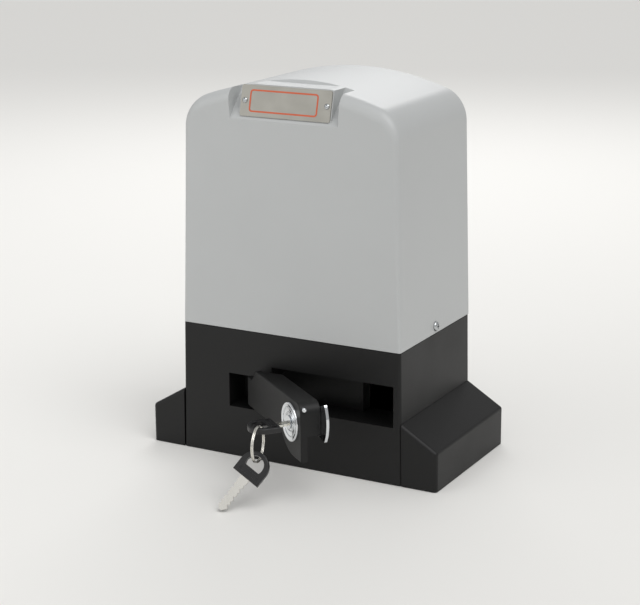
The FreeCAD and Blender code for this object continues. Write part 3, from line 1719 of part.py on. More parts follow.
def gearbox_cover_screws():
    screws = []
    for x, z in cover_bolt_places():
        seat = Vector(x, casting_front - gearbox_cover_thickness - seat_gap, z)
        screws.append(screw(3.3, 3.0, 1.85, gearbox_cover_thickness + 9, seat, Y_AXIS))
    return group(screws)


def gearbox_bolts():
    bolts = []
    for x, y in gearbox_feet():
        seat = Vector(x, y, casting_bottom + 2.05)
        head = hex_prism(10.0, seat, Z_AXIS, 4.0)
        shank = rod(gearbox_bolt_radius, seat, Z_AXIS * -1, casting_bottom - 1)
        bolts.append(joined([head, shank]))
    return group(bolts)


# ---------------------------------------------------------------- release linkage
def release_rod():
    """Pushed by the lever's tail: a round pad, a rod through the guide, a reduced nose in the shaft."""
    rest = math.radians(lever_open_angle)
    tail_rear = hinge_y + tail_length * math.sin(rest) + tail_half_width
    front = tail_rear + contact_gap
    pin_front = sleeve_front + sleeve_length / 2 - cross_pin_radius
    pad = rod(rod_pad_radius, Vector(0, front, 0), Y_AXIS, rod_pad_thickness)
    stem = rod(rod_radius, Vector(0, front + 1, 0), Y_AXIS, pin_front - contact_gap - front - 1)
    return on_drive_axis(joined([pad, stem]))


# ---------------------------------------------------------------- electrics
def circuit_board():
    y0 = worm_y - board_width / 2
    board = block(
        board_x - board_thickness,
        board_x,
        y0,
        y0 + board_width,
        board_bottom,
        board_bottom + board_height,
    )
    holes = []
    for y, z in board_holes():
        holes.append(rod(1.8, Vector(board_x - 5, y, z), X_AXIS, 10))
    return board.cut(holes)


def board_holes():
    places = []
    for y in (worm_y - board_width / 2 + 5, worm_y + board_width / 2 - 5):
        for z in (board_bottom + 5, board_bottom + board_height - 5):
            places.append((y, z))
    return places


def board_bracket():
    """Moulded upright with a foot on the gearbox shelf and four standoffs for the board."""
    face = board_x + standoff_length
    y0 = worm_y - board_width / 2
    upright = block(
        face, face + bracket_thickness, y0, y0 + board_width, shelf_top(), board_bottom + board_height
    )
    window = block(
        face - 1,
        face + bracket_thickness + 1,
        y0 + 16,
        y0 + board_width - 16,
        board_bottom + 14,
        board_bottom + board_height - 14,
    )
    foot = block(
        face, drive_x - 3, worm_y - 28, worm_y + 14, shelf_top(), shelf_top() + bracket_thickness
    )
    foot = foot.cut(rod(motor_radius + 3, Vector(worm_x, worm_y, shelf_top() - 1), Z_AXIS, 60))
    posts = []
    for y, z in board_holes():
        posts.append(rod(3.5, Vector(board_x, y, z), X_AXIS, standoff_length + 0.5))
    body = upright.cut(window).fuse([foot] + posts)
    cuts = []
    for y, z in board_holes():
        cuts.append(rod(1.3, Vector(board_x - 1, y, z), X_AXIS, standoff_length + 5))
    for x, y in bracket_screw_places():
        cuts.append(rod(2.0, Vector(x, y, shelf_top() - 1), Z_AXIS, 10))
    return body.cut(cuts).removeSplitter()


def board_screws():
    screws = []
    for y, z in board_holes():
        seat = Vector(board_x - board_thickness - seat_gap, y, z)
        screws.append(screw(2.8, 1.8, 1.25, 6.0, seat, X_AXIS))
    return group(screws)


def bracket_screws():
    screws = []
    for x, y in bracket_screw_places():
        seat = Vector(x, y, shelf_top() + bracket_thickness + seat_gap)
        screws.append(screw(3.4, 2.4, 1.55, 10.0, seat, Z_AXIS * -1))
    return group(screws)


def board_part(y, z, width, height, depth):
    """Component standing on the board's outer face."""
    x1 = board_x - board_thickness - press_gap
    return block(x1 - depth, x1, y, y + width, z, z + height)


def relays():
    parts = []
    for index in range(3):
        parts.append(board_part(worm_y - 44 + index * 22, board_bottom + 66, 18.0, 14.0, 15.0))
    return group(parts)


def terminal_blocks():
    """Screw terminal strips along the board's lower edge."""
    strips = []
    for index in range(3):
        y = worm_y - 44 + index * 30
        strip = board_part(y, board_bottom + 2, 26.0, 9.0, 11.0)
        cuts = []
        for way in range(5):
            place = Vector(board_x - board_thickness - 12, y + 3 + way * 5, board_bottom + 6.5)
            cuts.append(rod(1.6, place, X_AXIS, 4))
        strips.append(strip.cut(cuts))
    return group(strips)


def transformer_core():
    """Laminated core with two windows."""
    core = board_part(worm_y - 24, board_bottom + 18, 48.0, 40.0, 24.0)
    x1 = board_x - board_thickness
    for y in (worm_y - 16, worm_y + 8):
        core = core.cut(block(x1 - 40, x1 + 1, y, y + 8, board_bottom + 26, board_bottom + 50))
    return core


def transformer_coil():
    """Coil round the core's middle limb."""
    x1 = board_x - board_thickness
    outer = round_block(-15.5, 15.5, -18, 18, 0, 23.4, 3.0)
    inner = block(-12.15, 12.15, -8.15, 8.15, -1, 30)
    coil = outer.cut(inner)
    coil.translate(Vector(x1 - press_gap - 12, worm_y, board_bottom + 26.3))
    sides = block(x1 - 60, x1 + 1, worm_y - 15.8, worm_y + 15.8, board_bottom, board_bottom + 90)
    coil = coil.common(sides)
    return coil.cut(block(x1 - 0.3, x1 + 20, worm_y - 40, worm_y + 40, board_bottom, board_bottom + 90))


def run_capacitor():
    """Round motor capacitor with a stud and two tabs, standing on the base's floor."""
    foot = Vector(capacitor_x, capacitor_y, floor_thickness + seat_gap)
    can = rod(capacitor_radius, foot, Z_AXIS, capacitor_height)
    top = [edge for edge in can.Edges if edge.Closed and edge.CenterOfMass.z > capacitor_height]
    can = can.makeFillet(1.5, top)
    tabs = []
    for y in (-6, 6):
        z = floor_thickness + capacitor_height
        tabs.append(
            block(
                capacitor_x - 0.4,
                capacitor_x + 0.4,
                capacitor_y + y - 3,
                capacitor_y + y + 3,
                z - 1,
                z + 8,
            )
        )
    return joined([can] + tabs)


def capacitor_clamp():
    """Band round the capacitor with a foot screwed to the floor."""
    z = floor_thickness + 20
    band = ring(
        capacitor_radius + 0.1 + clamp_thickness,
        capacitor_radius + 0.1,
        Vector(capacitor_x, capacitor_y, z),
        Z_AXIS,
        clamp_height,
    )
    y0 = capacitor_y + capacitor_radius + 0.1
    leg = block(
        capacitor_x - 7,
        capacitor_x + 7,
        y0,
        y0 + clamp_thickness,
        floor_thickness + seat_gap,
        z + clamp_height,
    )
    foot = block(
        capacitor_x - 7,
        capacitor_x + 7,
        y0,
        y0 + 14,
        floor_thickness + seat_gap,
        floor_thickness + seat_gap + clamp_thickness,
    )
    return joined([band, leg, foot])


# ---------------------------------------------------------------- limit switch
def limit_box_front():
    return half_depth + 0.3


def limit_switch_box():
    """Switch box on the base's rear wall above the pinion, closed, with a neck for the wand."""
    x0 = drive_x - limit_box_width / 2
    y0 = limit_box_front()
    body = round_block(
        x0,
        x0 + limit_box_width,
        y0,
        y0 + limit_box_depth,
        limit_box_bottom,
        limit_box_bottom + limit_box_height,
        3.0,
    )
    body = body.makeFillet(
        1.2, [e for e in body.Edges if abs(e.CenterOfMass.z - limit_box_bottom - limit_box_height) < flush]
    )
    middle = y0 + limit_box_depth / 2
    slot = block(
        drive_x - wand_slot_length / 2,
        drive_x + wand_slot_length / 2,
        middle - wand_slot_width / 2,
        middle + wand_slot_width / 2,
        wand_pivot().z - wand_hub_radius - 1.5,
        limit_box_bottom + limit_box_height + 10,
    )
    pin = rod(limit_pin_radius + press_gap, wand_pivot() - Y_AXIS * 20, Y_AXIS, 40)
    return body.cut([slot, pin])


def limit_pivot():
    start = wand_pivot() - Y_AXIS * (limit_box_depth / 2 - 1)
    return rod(limit_pin_radius, start, Y_AXIS, limit_box_depth - 2)


def wand_pivot():
    return Vector(drive_x, limit_box_front() + limit_box_depth / 2, limit_box_bottom + wand_pivot_rise)


def limit_wand():
    """Sprung wand that the gate's end stops push sideways."""
    pivot = wand_pivot()
    hub_half = wand_slot_width / 2 - contact_gap
    hub = rod(wand_hub_radius, pivot - Y_AXIS * hub_half, Y_AXIS, 2 * hub_half)
    wand = rod(wand_radius, pivot, Z_AXIS, wand_length)
    ball = Part.makeSphere(wand_ball_radius, pivot + Z_AXIS * wand_length)
    bore = rod(limit_pin_radius + running_clearance, pivot - Y_AXIS * 20, Y_AXIS, 40)
    return joined([hub, wand, ball]).cut(bore)


NODES = {
    "base_housing": base_housing,
    "top_cover": top_cover,
    "nameplate": nameplate,
    "nameplate_screws": nameplate_screws,
    "cover_screws": cover_screws,
    "foot_cover_left": foot_cover_left,
    "foot_cover_right": foot_cover_right,
    "release_lever": release_lever,
    "lever_pin": lever_pin,
    "lock_barrel": lock_barrel,
    "lock_pin": lock_pin,
    "lock_plug": lock_plug,
    "lock_cam": lock_cam,
    "cam_nut": cam_nut,
    "key_blade": key_blade,
    "key_head": key_head,
    "key_ring": key_ring,
    "spare_key_blade": spare_key_blade,
    "spare_key_head": spare_key_head,
    "release_rod": release_rod,
    "worm_wheel": worm_wheel,
    "clutch_sleeve": clutch_sleeve,
    "clutch_pin": clutch_pin,
    "clutch_spring": clutch_spring,
    "output_shaft": output_shaft,
    "output_bearings": output_bearings,
    "oil_seal": oil_seal,
    "shaft_key": shaft_key,
    "drive_pinion": drive_pinion,
    "pinion_washer": pinion_washer,
    "pinion_bolt": pinion_bolt,
    "gearbox_housing": gearbox_housing,
    "gearbox_cover": gearbox_cover,
    "gearbox_cover_screws": gearbox_cover_screws,
    "gearbox_bolts": gearbox_bolts,
    "worm_shaft": worm_shaft,
    "rotor_core": rotor_core,
    "motor_bearings": motor_bearings,
    "motor_stator": motor_stator,
    "motor_windings": motor_windings,
    "motor_lower_bell": motor_lower_bell,
    "motor_upper_bell": motor_upper_bell,
    "motor_bolts": motor_bolts,
    "cooling_fan": cooling_fan,
    "circuit_board": circuit_board,
    "board_bracket": board_bracket,
    "board_screws": board_screws,
    "bracket_screws": bracket_screws,
    "relays": relays,
    "terminal_blocks": terminal_blocks,
    "transformer_core": transformer_core,
    "transformer_coil": transformer_coil,
    "run_capacitor": run_capacitor,
    "capacitor_clamp": capacitor_clamp,
    "limit_switch_box": limit_switch_box,
    "limit_wand": limit_wand,
    "limit_pivot": limit_pivot,
}

os.makedirs("parts", exist_ok=True)
for name, make in NODES.items():
    shape = make()
    shape.exportStep("parts/" + name + ".step")
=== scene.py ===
import json
import math

import bpy
from mathutils import Matrix, Vector


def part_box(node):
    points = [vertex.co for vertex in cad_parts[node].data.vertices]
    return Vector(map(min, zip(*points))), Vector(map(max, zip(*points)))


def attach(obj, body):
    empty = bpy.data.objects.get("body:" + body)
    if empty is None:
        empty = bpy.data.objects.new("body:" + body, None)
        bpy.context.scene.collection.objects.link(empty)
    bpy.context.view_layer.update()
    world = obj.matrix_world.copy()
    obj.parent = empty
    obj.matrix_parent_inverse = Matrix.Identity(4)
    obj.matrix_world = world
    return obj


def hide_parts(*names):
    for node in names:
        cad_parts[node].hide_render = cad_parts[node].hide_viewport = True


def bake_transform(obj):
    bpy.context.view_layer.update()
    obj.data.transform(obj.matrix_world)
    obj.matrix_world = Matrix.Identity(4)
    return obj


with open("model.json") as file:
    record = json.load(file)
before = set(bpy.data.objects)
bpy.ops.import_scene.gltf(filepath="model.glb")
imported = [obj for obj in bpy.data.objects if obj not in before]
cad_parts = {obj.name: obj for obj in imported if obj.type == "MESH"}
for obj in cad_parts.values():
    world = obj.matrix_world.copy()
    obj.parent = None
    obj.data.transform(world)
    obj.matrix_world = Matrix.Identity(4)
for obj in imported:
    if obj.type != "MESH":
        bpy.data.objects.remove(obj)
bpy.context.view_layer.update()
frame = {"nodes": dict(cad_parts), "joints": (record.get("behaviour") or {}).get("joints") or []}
joints = {joint["name"]: joint for joint in frame["joints"]}
mm = 0.001
upright = Vector((0, 0, 1))


def boxMiddle(node):
    low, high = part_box(node)
    return (Vector(low) + Vector(high)) / 2


def jointLine(name):
    # a point on the joint's axis, and the axis
    return Vector(joints[name]["pos_m"]), Vector(joints[name]["axis"])


def srgb(hexColour):
    # a written screen colour, turned to the linear values that the shader wants
    parts = [int(hexColour[i:i + 2], 16) / 255 for i in (0, 2, 4)]
    linear = [p / 12.92 if p <= 0.04045 else ((p + 0.055) / 1.055) ** 2.4 for p in parts]
    return (*linear, 1.0)


def addNode(tree, kind, values=None, links=None, **settings):
    node = tree.nodes.new(kind)
    for name, value in settings.items():
        setattr(node, name, value)
    for socket, value in (values or {}).items():
        node.inputs[socket].default_value = value
    for socket, source in (links or {}).items():
        tree.links.new(source, node.inputs[socket])
    return node


def startMaterial(name):
    material = bpy.data.materials.new(name)
    material.use_nodes = True
    tree = material.node_tree
    tree.nodes.clear()
    out = addNode(tree, "ShaderNodeOutputMaterial")
    shader = addNode(tree, "ShaderNodeBsdfPrincipled")
    tree.links.new(shader.outputs["BSDF"], out.inputs["Surface"])
    place = addNode(tree, "ShaderNodeTexCoord").outputs["Object"]
    return material, tree, shader, place


def perMetre(sizeMm):
    # pattern scale for a feature of this size
    return 1000.0 / sizeMm


# a Mix node names its colour sockets as it names its others, so they are told apart by number
mixShare, mixDark, mixLight, mixResult = 0, 6, 7, 2


def coat(tree, shader, look, share, height):
    # mixes the finish's two tones by one 0 to 1 pattern and raises the surface by another
    tone = addNode(tree, "ShaderNodeMix", {mixDark: srgb(look["dark"]), mixLight: srgb(look["light"])},
                   {mixShare: share}, data_type="RGBA")
    bump = addNode(tree, "ShaderNodeBump", {"Strength": look["bump"], "Distance": look["depthMm"] * mm},
                   {"Height": height})
    tree.links.new(tone.outputs[mixResult], shader.inputs["Base Color"])
    tree.links.new(bump.outputs["Normal"], shader.inputs["Normal"])


def mouldedPlastic(name, look):
    # injection-moulded plastic: spark-eroded grain, a faint change of gloss where the melt flowed
    material, tree, shader, place = startMaterial(name)
    shader.inputs["IOR"].default_value = look["ior"]
    shader.inputs["Specular IOR Level"].default_value = look["gleam"]
    grain = addNode(tree, "ShaderNodeTexNoise",
                    {"Scale": perMetre(look["grainMm"]), "Detail": 2.0, "Roughness": 0.6}, {"Vector": place})
    flow = addNode(tree, "ShaderNodeTexNoise",
                   {"Scale": perMetre(look["flowMm"]), "Detail": 3.0}, {"Vector": place})
    rough = addNode(tree, "ShaderNodeMapRange", {"To Min": look["roughMin"], "To Max": look["roughMax"]},
                    {"Value": flow.outputs["Fac"]})
    tree.links.new(rough.outputs["Result"], shader.inputs["Roughness"])
    coat(tree, shader, look, flow.outputs["Fac"], grain.outputs["Fac"])
    return material


def workedMetal(name, look):
    # bare metal: a stretch below 1 draws the tool's or brush's lines along that axis
    material, tree, shader, place = startMaterial(name)
    shader.inputs["Metallic"].default_value = 1.0
    mapping = addNode(tree, "ShaderNodeMapping", {"Scale": look["stretch"]}, {"Vector": place})
    lines = addNode(tree, "ShaderNodeTexNoise",
                    {"Scale": perMetre(look["grainMm"]), "Detail": 4.0, "Roughness": 0.65},
                    {"Vector": mapping.outputs["Vector"]})
    patches = addNode(tree, "ShaderNodeTexNoise",
                      {"Scale": perMetre(look["flowMm"]), "Detail": 2.0}, {"Vector": place})
    rough = addNode(tree, "ShaderNodeMapRange", {"To Min": look["roughMin"], "To Max": look["roughMax"]},
                    {"Value": lines.outputs["Fac"]})
    tree.links.new(rough.outputs["Result"], shader.inputs["Roughness"])
    coat(tree, shader, look, patches.outputs["Fac"], lines.outputs["Fac"])
    return material


def stackedLayers(name, look):
    # thin layers or windings seen edge-on: fine bands across one axis
    material, tree, shader, place = startMaterial(name)
    shader.inputs["Metallic"].default_value = look["metallic"]
    shader.inputs["Roughness"].default_value = look["roughness"]
    bandScale = perMetre(look["pitchMm"]) / (2 * math.pi)
    bands = addNode(tree, "ShaderNodeTexWave",
                    {"Scale": bandScale, "Distortion": look["waver"], "Detail": 2.0, "Detail Scale": 2.0},
                    {"Vector": place}, bands_direction=look["across"])
    coat(tree, shader, look, bands.outputs["Fac"], bands.outputs["Fac"])
    return material


# the real grain is 0.1 to 0.3 mm, too fine to show, so grainMm is drawn several times coarser;
# flowMm is the size of the slow changes of tone
plasticLooks = {
    # satin light-grey ABS, a fine even grain that softens its highlights
    "absLightGrey": {
        "dark": "B7B9B9", "light": "BCBEBE", "ior": 1.53, "gleam": 0.5, "grainMm": 0.9, "flowMm": 70,
        "roughMin": 0.36, "roughMax": 0.44, "bump": 0.12, "depthMm": 0.15,
    },
    # black glass-filled nylon, coarser matt grain that shows dark grey in the light
    "nylonBlack": {
        "dark": "0E0E0E", "light": "121212", "ior": 1.52, "gleam": 0.32, "grainMm": 1.1, "flowMm": 45,
        "roughMin": 0.4, "roughMax": 0.52, "bump": 0.35, "depthMm": 0.25,
    },
    # smooth black key heads, glossy from handling
    "keyHeadBlack": {
        "dark": "161617", "light": "1C1C1D", "ior": 1.5, "gleam": 0.5, "grainMm": 1.5, "flowMm": 12,
        "roughMin": 0.24, "roughMax": 0.36, "bump": 0.12, "depthMm": 0.1,
    },
    # dark grey moulded nylon, dull blades
    "nylonFan": {
        "dark": "2A2B2D", "light": "303134", "ior": 1.52, "gleam": 0.5, "grainMm": 1.2, "flowMm": 20,
        "roughMin": 0.42, "roughMax": 0.5, "bump": 0.2, "depthMm": 0.1,
    },
    # nitrile rubber, soft black with hardly a highlight
    "rubberSeal": {
        "dark": "1D1D1D", "light": "232323", "ior": 1.52, "gleam": 0.5, "grainMm": 1.4, "flowMm": 20,
        "roughMin": 0.62, "roughMax": 0.72, "bump": 0.3, "depthMm": 0.1,
    },
    # glass-epoxy board under green solder mask, the woven cloth faint below
    "solderMaskGreen": {
        "dark": "15593A", "light": "1A6643", "ior": 1.55, "gleam": 0.5, "grainMm": 1.6, "flowMm": 8,
        "roughMin": 0.2, "roughMax": 0.3, "bump": 0.15, "depthMm": 0.08,
    },
    # moulded polyamide terminal blocks, a clean mid green
    "terminalGreen": {
        "dark": "3D8A4A", "light": "469452", "ior": 1.53, "gleam": 0.5, "grainMm": 1.2, "flowMm": 14,
        "roughMin": 0.34, "roughMax": 0.42, "bump": 0.1, "depthMm": 0.08,
    },
    # moulded polyester relay cases, black and half glossy
    "relayCaseBlack": {
        "dark": "1B1B1D", "light": "202022", "ior": 1.53, "gleam": 0.5, "grainMm": 1.0, "flowMm": 10,
        "roughMin": 0.3, "roughMax": 0.4, "bump": 0.1, "depthMm": 0.06,
    },
    # yellow polyester tape wound over the coil, shiny and slightly uneven
    "polyesterTape": {
        "dark": "C79A2E", "light": "D3A83B", "ior": 1.55, "gleam": 0.5, "grainMm": 2.0, "flowMm": 9,
        "roughMin": 0.22, "roughMax": 0.32, "bump": 0.2, "depthMm": 0.1,
    },
    # smooth white polypropylene can
    "capacitorCaseWhite": {
        "dark": "D8D8D2", "light": "DEDED8", "ior": 1.5, "gleam": 0.5, "grainMm": 1.5, "flowMm": 30,
        "roughMin": 0.22, "roughMax": 0.3, "bump": 0.08, "depthMm": 0.08,
    },
    # mid-grey moulded nylon, matt
    "bracketNylon": {
        "dark": "4A4B4D", "light": "505153", "ior": 1.52, "gleam": 0.5, "grainMm": 1.0, "flowMm": 25,
        "roughMin": 0.42, "roughMax": 0.5, "bump": 0.2, "depthMm": 0.1,
    },
    # orange-red screen-printed enamel, a thin even film
    "borderPaint": {
        "dark": "C4542F", "light": "CC5C36", "ior": 1.5, "gleam": 0.5, "grainMm": 1.0, "flowMm": 12,
        "roughMin": 0.34, "roughMax": 0.42, "bump": 0.1, "depthMm": 0.03,
    },
}
metalLooks = {
    # stainless sheet brushed along its length: long fine lines, blurred reflections
    "stainlessBrushed": {
        "dark": "8C8A83", "light": "A5A39C", "grainMm": 0.7, "flowMm": 22, "stretch": (0.03, 1, 1),
        "roughMin": 0.26, "roughMax": 0.42, "bump": 0.25, "depthMm": 0.05,
    },
    # bright zinc plating with faintly cloudy patches
    "zincPlate": {
        "dark": "B9BCBE", "light": "CFD2D3", "grainMm": 0.8, "flowMm": 5, "stretch": (1, 1, 1),
        "roughMin": 0.22, "roughMax": 0.34, "bump": 0.1, "depthMm": 0.03,
    },
    # chromium over polished zinc alloy: nearly a mirror
    "chromePolished": {
        "dark": "DADDE0", "light": "E6E8EA", "grainMm": 3.0, "flowMm": 20, "stretch": (1, 1, 1),
        "roughMin": 0.05, "roughMax": 0.13, "bump": 0.03, "depthMm": 0.05,
    },
    # nickel-plated key blanks, pale and warm, with rubbed patches
    "nickelKey": {
        "dark": "DAD8D0", "light": "E8E6E0", "grainMm": 0.9, "flowMm": 9, "stretch": (1, 1, 1),
        "roughMin": 0.18, "roughMax": 0.32, "bump": 0.12, "depthMm": 0.04,
    },
    # ground steel: a fine sheen with no clear direction
    "steelGround": {
        "dark": "9FA1A3", "light": "B4B6B8", "grainMm": 0.8, "flowMm": 15, "stretch": (1, 1, 1),
        "roughMin": 0.22, "roughMax": 0.36, "bump": 0.12, "depthMm": 0.04,
    },
    # cut steel teeth: the cutter's marks run front to rear
    "steelCutTeeth": {
        "dark": "85878A", "light": "9C9EA1", "grainMm": 0.8, "flowMm": 12, "stretch": (1, 0.2, 1),
        "roughMin": 0.28, "roughMax": 0.46, "bump": 0.2, "depthMm": 0.06,
    },
    # die-cast aluminium left raw: dull, faintly pitted skin
    "aluminiumDieCast": {
        "dark": "9A9C9E", "light": "B0B2B3", "grainMm": 1.4, "flowMm": 25, "stretch": (1, 1, 1),
        "roughMin": 0.42, "roughMax": 0.6, "bump": 0.35, "depthMm": 0.2,
    },
    # cut bronze, golden brown with a soft sheen
    "bronzeCut": {
        "dark": "A87F44", "light": "C09655", "grainMm": 0.9, "flowMm": 12, "stretch": (1, 1, 1),
        "roughMin": 0.24, "roughMax": 0.4, "bump": 0.15, "depthMm": 0.05,
    },
}
layerLooks = {
    # varnished electrical steel sheets, half a millimetre each, drawn at one so that they show
    "laminationStack": {
        "dark": "3A3B3D", "light": "595A5D", "pitchMm": 1.0, "waver": 0.3, "across": "Z", "metallic": 0.7,
        "roughness": 0.42, "bump": 0.5, "depthMm": 0.12,
    },
    # enamelled copper wire laid in bundles
    "copperEnamelled": {
        "dark": "6E3216", "light": "B0623A", "pitchMm": 1.2, "waver": 2.0, "across": "Z", "metallic": 0.6,
        "roughness": 0.3, "bump": 0.5, "depthMm": 0.3,
    },
}
materials = {}
for name, look in plasticLooks.items():
    materials[name] = mouldedPlastic(name, look)
for name, look in metalLooks.items():
    materials[name] = workedMetal(name, look)
for name, look in layerLooks.items():
    materials[name] = stackedLayers(name, look)
print("materials made:", len(materials))

nodeFinish = {
    "absLightGrey": ["top_cover"],
    "nylonBlack": ["base_housing", "foot_cover_left", "foot_cover_right", "release_lever",
                   "limit_switch_box", "limit_wand"],
    "keyHeadBlack": ["key_head", "spare_key_head"],
    "nickelKey": ["key_blade", "spare_key_blade", "key_ring"],
    "chromePolished": ["lock_barrel", "lock_pin", "lock_plug", "lock_cam", "cam_nut"],
    "stainlessBrushed": ["nameplate"],
    "zincPlate": ["nameplate_screws", "cover_screws", "pinion_washer", "pinion_bolt", "gearbox_cover_screws",
                  "gearbox_bolts", "motor_bolts", "board_screws", "bracket_screws", "capacitor_clamp"],
    "steelGround": ["lever_pin", "release_rod", "clutch_pin", "clutch_spring", "output_bearings",
                    "motor_bearings", "shaft_key", "limit_pivot", "output_shaft"],
    "steelCutTeeth": ["drive_pinion", "clutch_sleeve", "worm_shaft"],
    "bronzeCut": ["worm_wheel"],
    "aluminiumDieCast": ["gearbox_housing", "gearbox_cover", "motor_lower_bell", "motor_upper_bell"],
    "laminationStack": ["motor_stator", "rotor_core", "transformer_core"],
    "copperEnamelled": ["motor_windings"],
    "rubberSeal": ["oil_seal"],
    "nylonFan": ["cooling_fan"],
    "solderMaskGreen": ["circuit_board"],
    "terminalGreen": ["terminal_blocks"],
    "relayCaseBlack": ["relays"],
    "polyesterTape": ["transformer_coil"],
    "capacitorCaseWhite": ["run_capacitor"],
    "bracketNylon": ["board_bracket"],
}
for finish, nodes in nodeFinish.items():
    for node in nodes:
        solid = frame["nodes"][node]
        solid.data.materials.clear()
        solid.data.materials.append(materials[finish])
print("solids finished:", sum(len(n) for n in nodeFinish.values()))


def deselectAll():
    if bpy.context.object and bpy.context.object.mode != "OBJECT":
        bpy.ops.object.mode_set(mode="OBJECT")
    bpy.ops.object.select_all(action="DESELECT")


def finishPiece(piece, name, finish, body, replaced=()):
    # puts the piece's place in its mesh and gives it its name, finish and body;
    # a piece that is blended across a joint afterwards has no body here
    smoothBelow = math.radians(35)
    deselectAll()
    piece.select_set(True)
    bpy.context.view_layer.objects.active = piece
    bpy.ops.object.transform_apply(location=True, rotation=True, scale=True)
    bpy.ops.object.shade_smooth_by_angle(angle=smoothBelow)
    piece.name = name
    piece.data.name = name
    piece.data.materials.clear()
    piece.data.materials.append(materials[finish])
    if body:
        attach(piece, body)
    for node in replaced:
        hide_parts(node)


def carve(piece, cutter):
    # cuts one solid out of another and throws the cutter away
    deselectAll()
    bpy.context.view_layer.objects.active = piece
    piece.select_set(True)
    cut = piece.modifiers.new("cut", "BOOLEAN")
    cut.operation = "DIFFERENCE"
    cut.solver = "EXACT"
    cut.object = cutter
    bpy.ops.object.modifier_apply(modifier="cut")
    bpy.data.objects.remove(cutter, do_unlink=True)


def fuse(pieceList):
    # joins the pieces into the first of them
    deselectAll()
    for piece in pieceList:
        piece.select_set(True)
    bpy.context.view_layer.objects.active = pieceList[0]
    bpy.ops.object.join()
    return pieceList[0]


def bar(width, depth, height, at):
    deselectAll()
    bpy.ops.mesh.primitive_cube_add(size=1, location=at)
    cube = bpy.context.object
    cube.scale = (width, depth, height)
    bpy.ops.object.transform_apply(location=True, rotation=False, scale=True)
    return cube


def faced(at, outward):
    # a place whose +Z points outward
    return Matrix.Translation(at) @ outward.to_track_quat("Z", "Y").to_matrix().to_4x4()


def domeScrew(look):
    # a low domed head with a cross recess, standing on +Z, and its plain shank below
    footLevel = 0.0001  # where the dome is cut flat
    above = 0.001  # the recess's cutter stands this far out of the dome
    overlap = 0.0002  # of shank and head
    deselectAll()
    bpy.ops.mesh.primitive_uv_sphere_add(segments=48, ring_count=24, radius=look["radius"])
    head = bpy.context.object
    head.scale = (1, 1, look["rise"] / look["radius"])
    bpy.ops.object.transform_apply(scale=True)
    # the recess is cut first, while the head is still a closed ball
    bladeLevel = look["rise"] - look["recess"] / 2 + above / 2
    for turn in (0, 90):
        blade = bar(look["slotLength"], look["slotWidth"], look["recess"] + above, (0, 0, bladeLevel))
        blade.rotation_euler = (0, 0, math.radians(turn))
        carve(head, blade)
    deselectAll()
    head.select_set(True)
    bpy.context.view_layer.objects.active = head
    bpy.ops.object.mode_set(mode="EDIT")
    bpy.ops.mesh.select_all(action="SELECT")
    bpy.ops.mesh.bisect(plane_co=(0, 0, footLevel), plane_no=(0, 0, 1), clear_inner=True, use_fill=True)
    bpy.ops.object.mode_set(mode="OBJECT")
    deselectAll()
    bpy.ops.mesh.primitive_cylinder_add(vertices=32, radius=look["shank"], depth=look["shankLength"],
                                        location=(0, 0, overlap - look["shankLength"] / 2))
    return fuse([head, bpy.context.object])


def screwPair(look, seats, name, node):
    made = []
    for at, outward in seats:
        screw = domeScrew(look)
        screw.matrix_world = faced(at, outward)
        made.append(screw)
    finishPiece(fuse(made), name, "zincPlate", "root", [node])


def wireForm(name, points, radius):
    # round wire along a row of points
    path = bpy.data.curves.new(name, "CURVE")
    path.dimensions = "3D"
    path.bevel_depth = radius
    path.bevel_resolution = 4
    path.use_fill_caps = True
    spline = path.splines.new("POLY")
    spline.points.add(len(points) - 1)
    for point, place in zip(spline.points, points):
        point.co = (*place, 1)
    wire = bpy.data.objects.new(name, path)
    bpy.context.scene.collection.objects.link(wire)
    deselectAll()
    wire.select_set(True)
    bpy.context.view_layer.objects.active = wire
    bpy.ops.object.convert(target="MESH")
    return bpy.context.object


def coilSpring(name, look, start, end):
    # a helix of round wire from one end to the other
    along = (end - start).normalized()
    side = along.orthogonal().normalized()
    across = along.cross(side)
    total = look["turns"] * look["steps"]
    points = []
    for step in range(total + 1):
        around = 2 * math.pi * step / look["steps"]
        ray = side * math.cos(around) + across * math.sin(around)
        points.append(start.lerp(end, step / total) + ray * look["radius"])
    return wireForm(name, points, look["wire"])


def roundedFrame(look):
    # a thin flat frame with rounded corners, lying in XY and raised along +Z
    deselectAll()
    bpy.ops.mesh.primitive_plane_add(size=1)
    line = bpy.context.object
    line.scale = (look["width"], look["height"], 1)
    bpy.ops.object.transform_apply(scale=True)
    bpy.ops.object.mode_set(mode="EDIT")
    bpy.ops.mesh.select_all(action="SELECT")
    bpy.ops.mesh.bevel(offset=look["corner"], segments=8, affect="VERTICES")
    bpy.ops.mesh.select_mode(type="FACE")
    bpy.ops.mesh.select_all(action="SELECT")
    bpy.ops.mesh.inset(thickness=look["band"])
    bpy.ops.mesh.delete(type="FACE")
    bpy.ops.mesh.select_all(action="SELECT")
    bpy.ops.mesh.extrude_region_move(TRANSFORM_OT_translate={"value": (0, 0, look["thick"])})
    bpy.ops.mesh.select_all(action="SELECT")
    bpy.ops.mesh.normals_make_consistent(inside=False)
    bpy.ops.object.mode_set(mode="OBJECT")
    return line


def stood(piece, at, right, up, out):
    # stands a piece at a place, its own X, Y and Z along three given directions
    turned = Matrix((right, up, out)).transposed().to_4x4()
    piece.matrix_world = Matrix.Translation(at) @ turned
    return piece


plateSlope = math.radians(76)  # the angle between the nameplate and the ground
plateUp = Vector((0, math.cos(plateSlope), math.sin(plateSlope)))
plateOut = Vector((0, -math.sin(plateSlope), math.cos(plateSlope)))
plateMiddle = boxMiddle("nameplate")

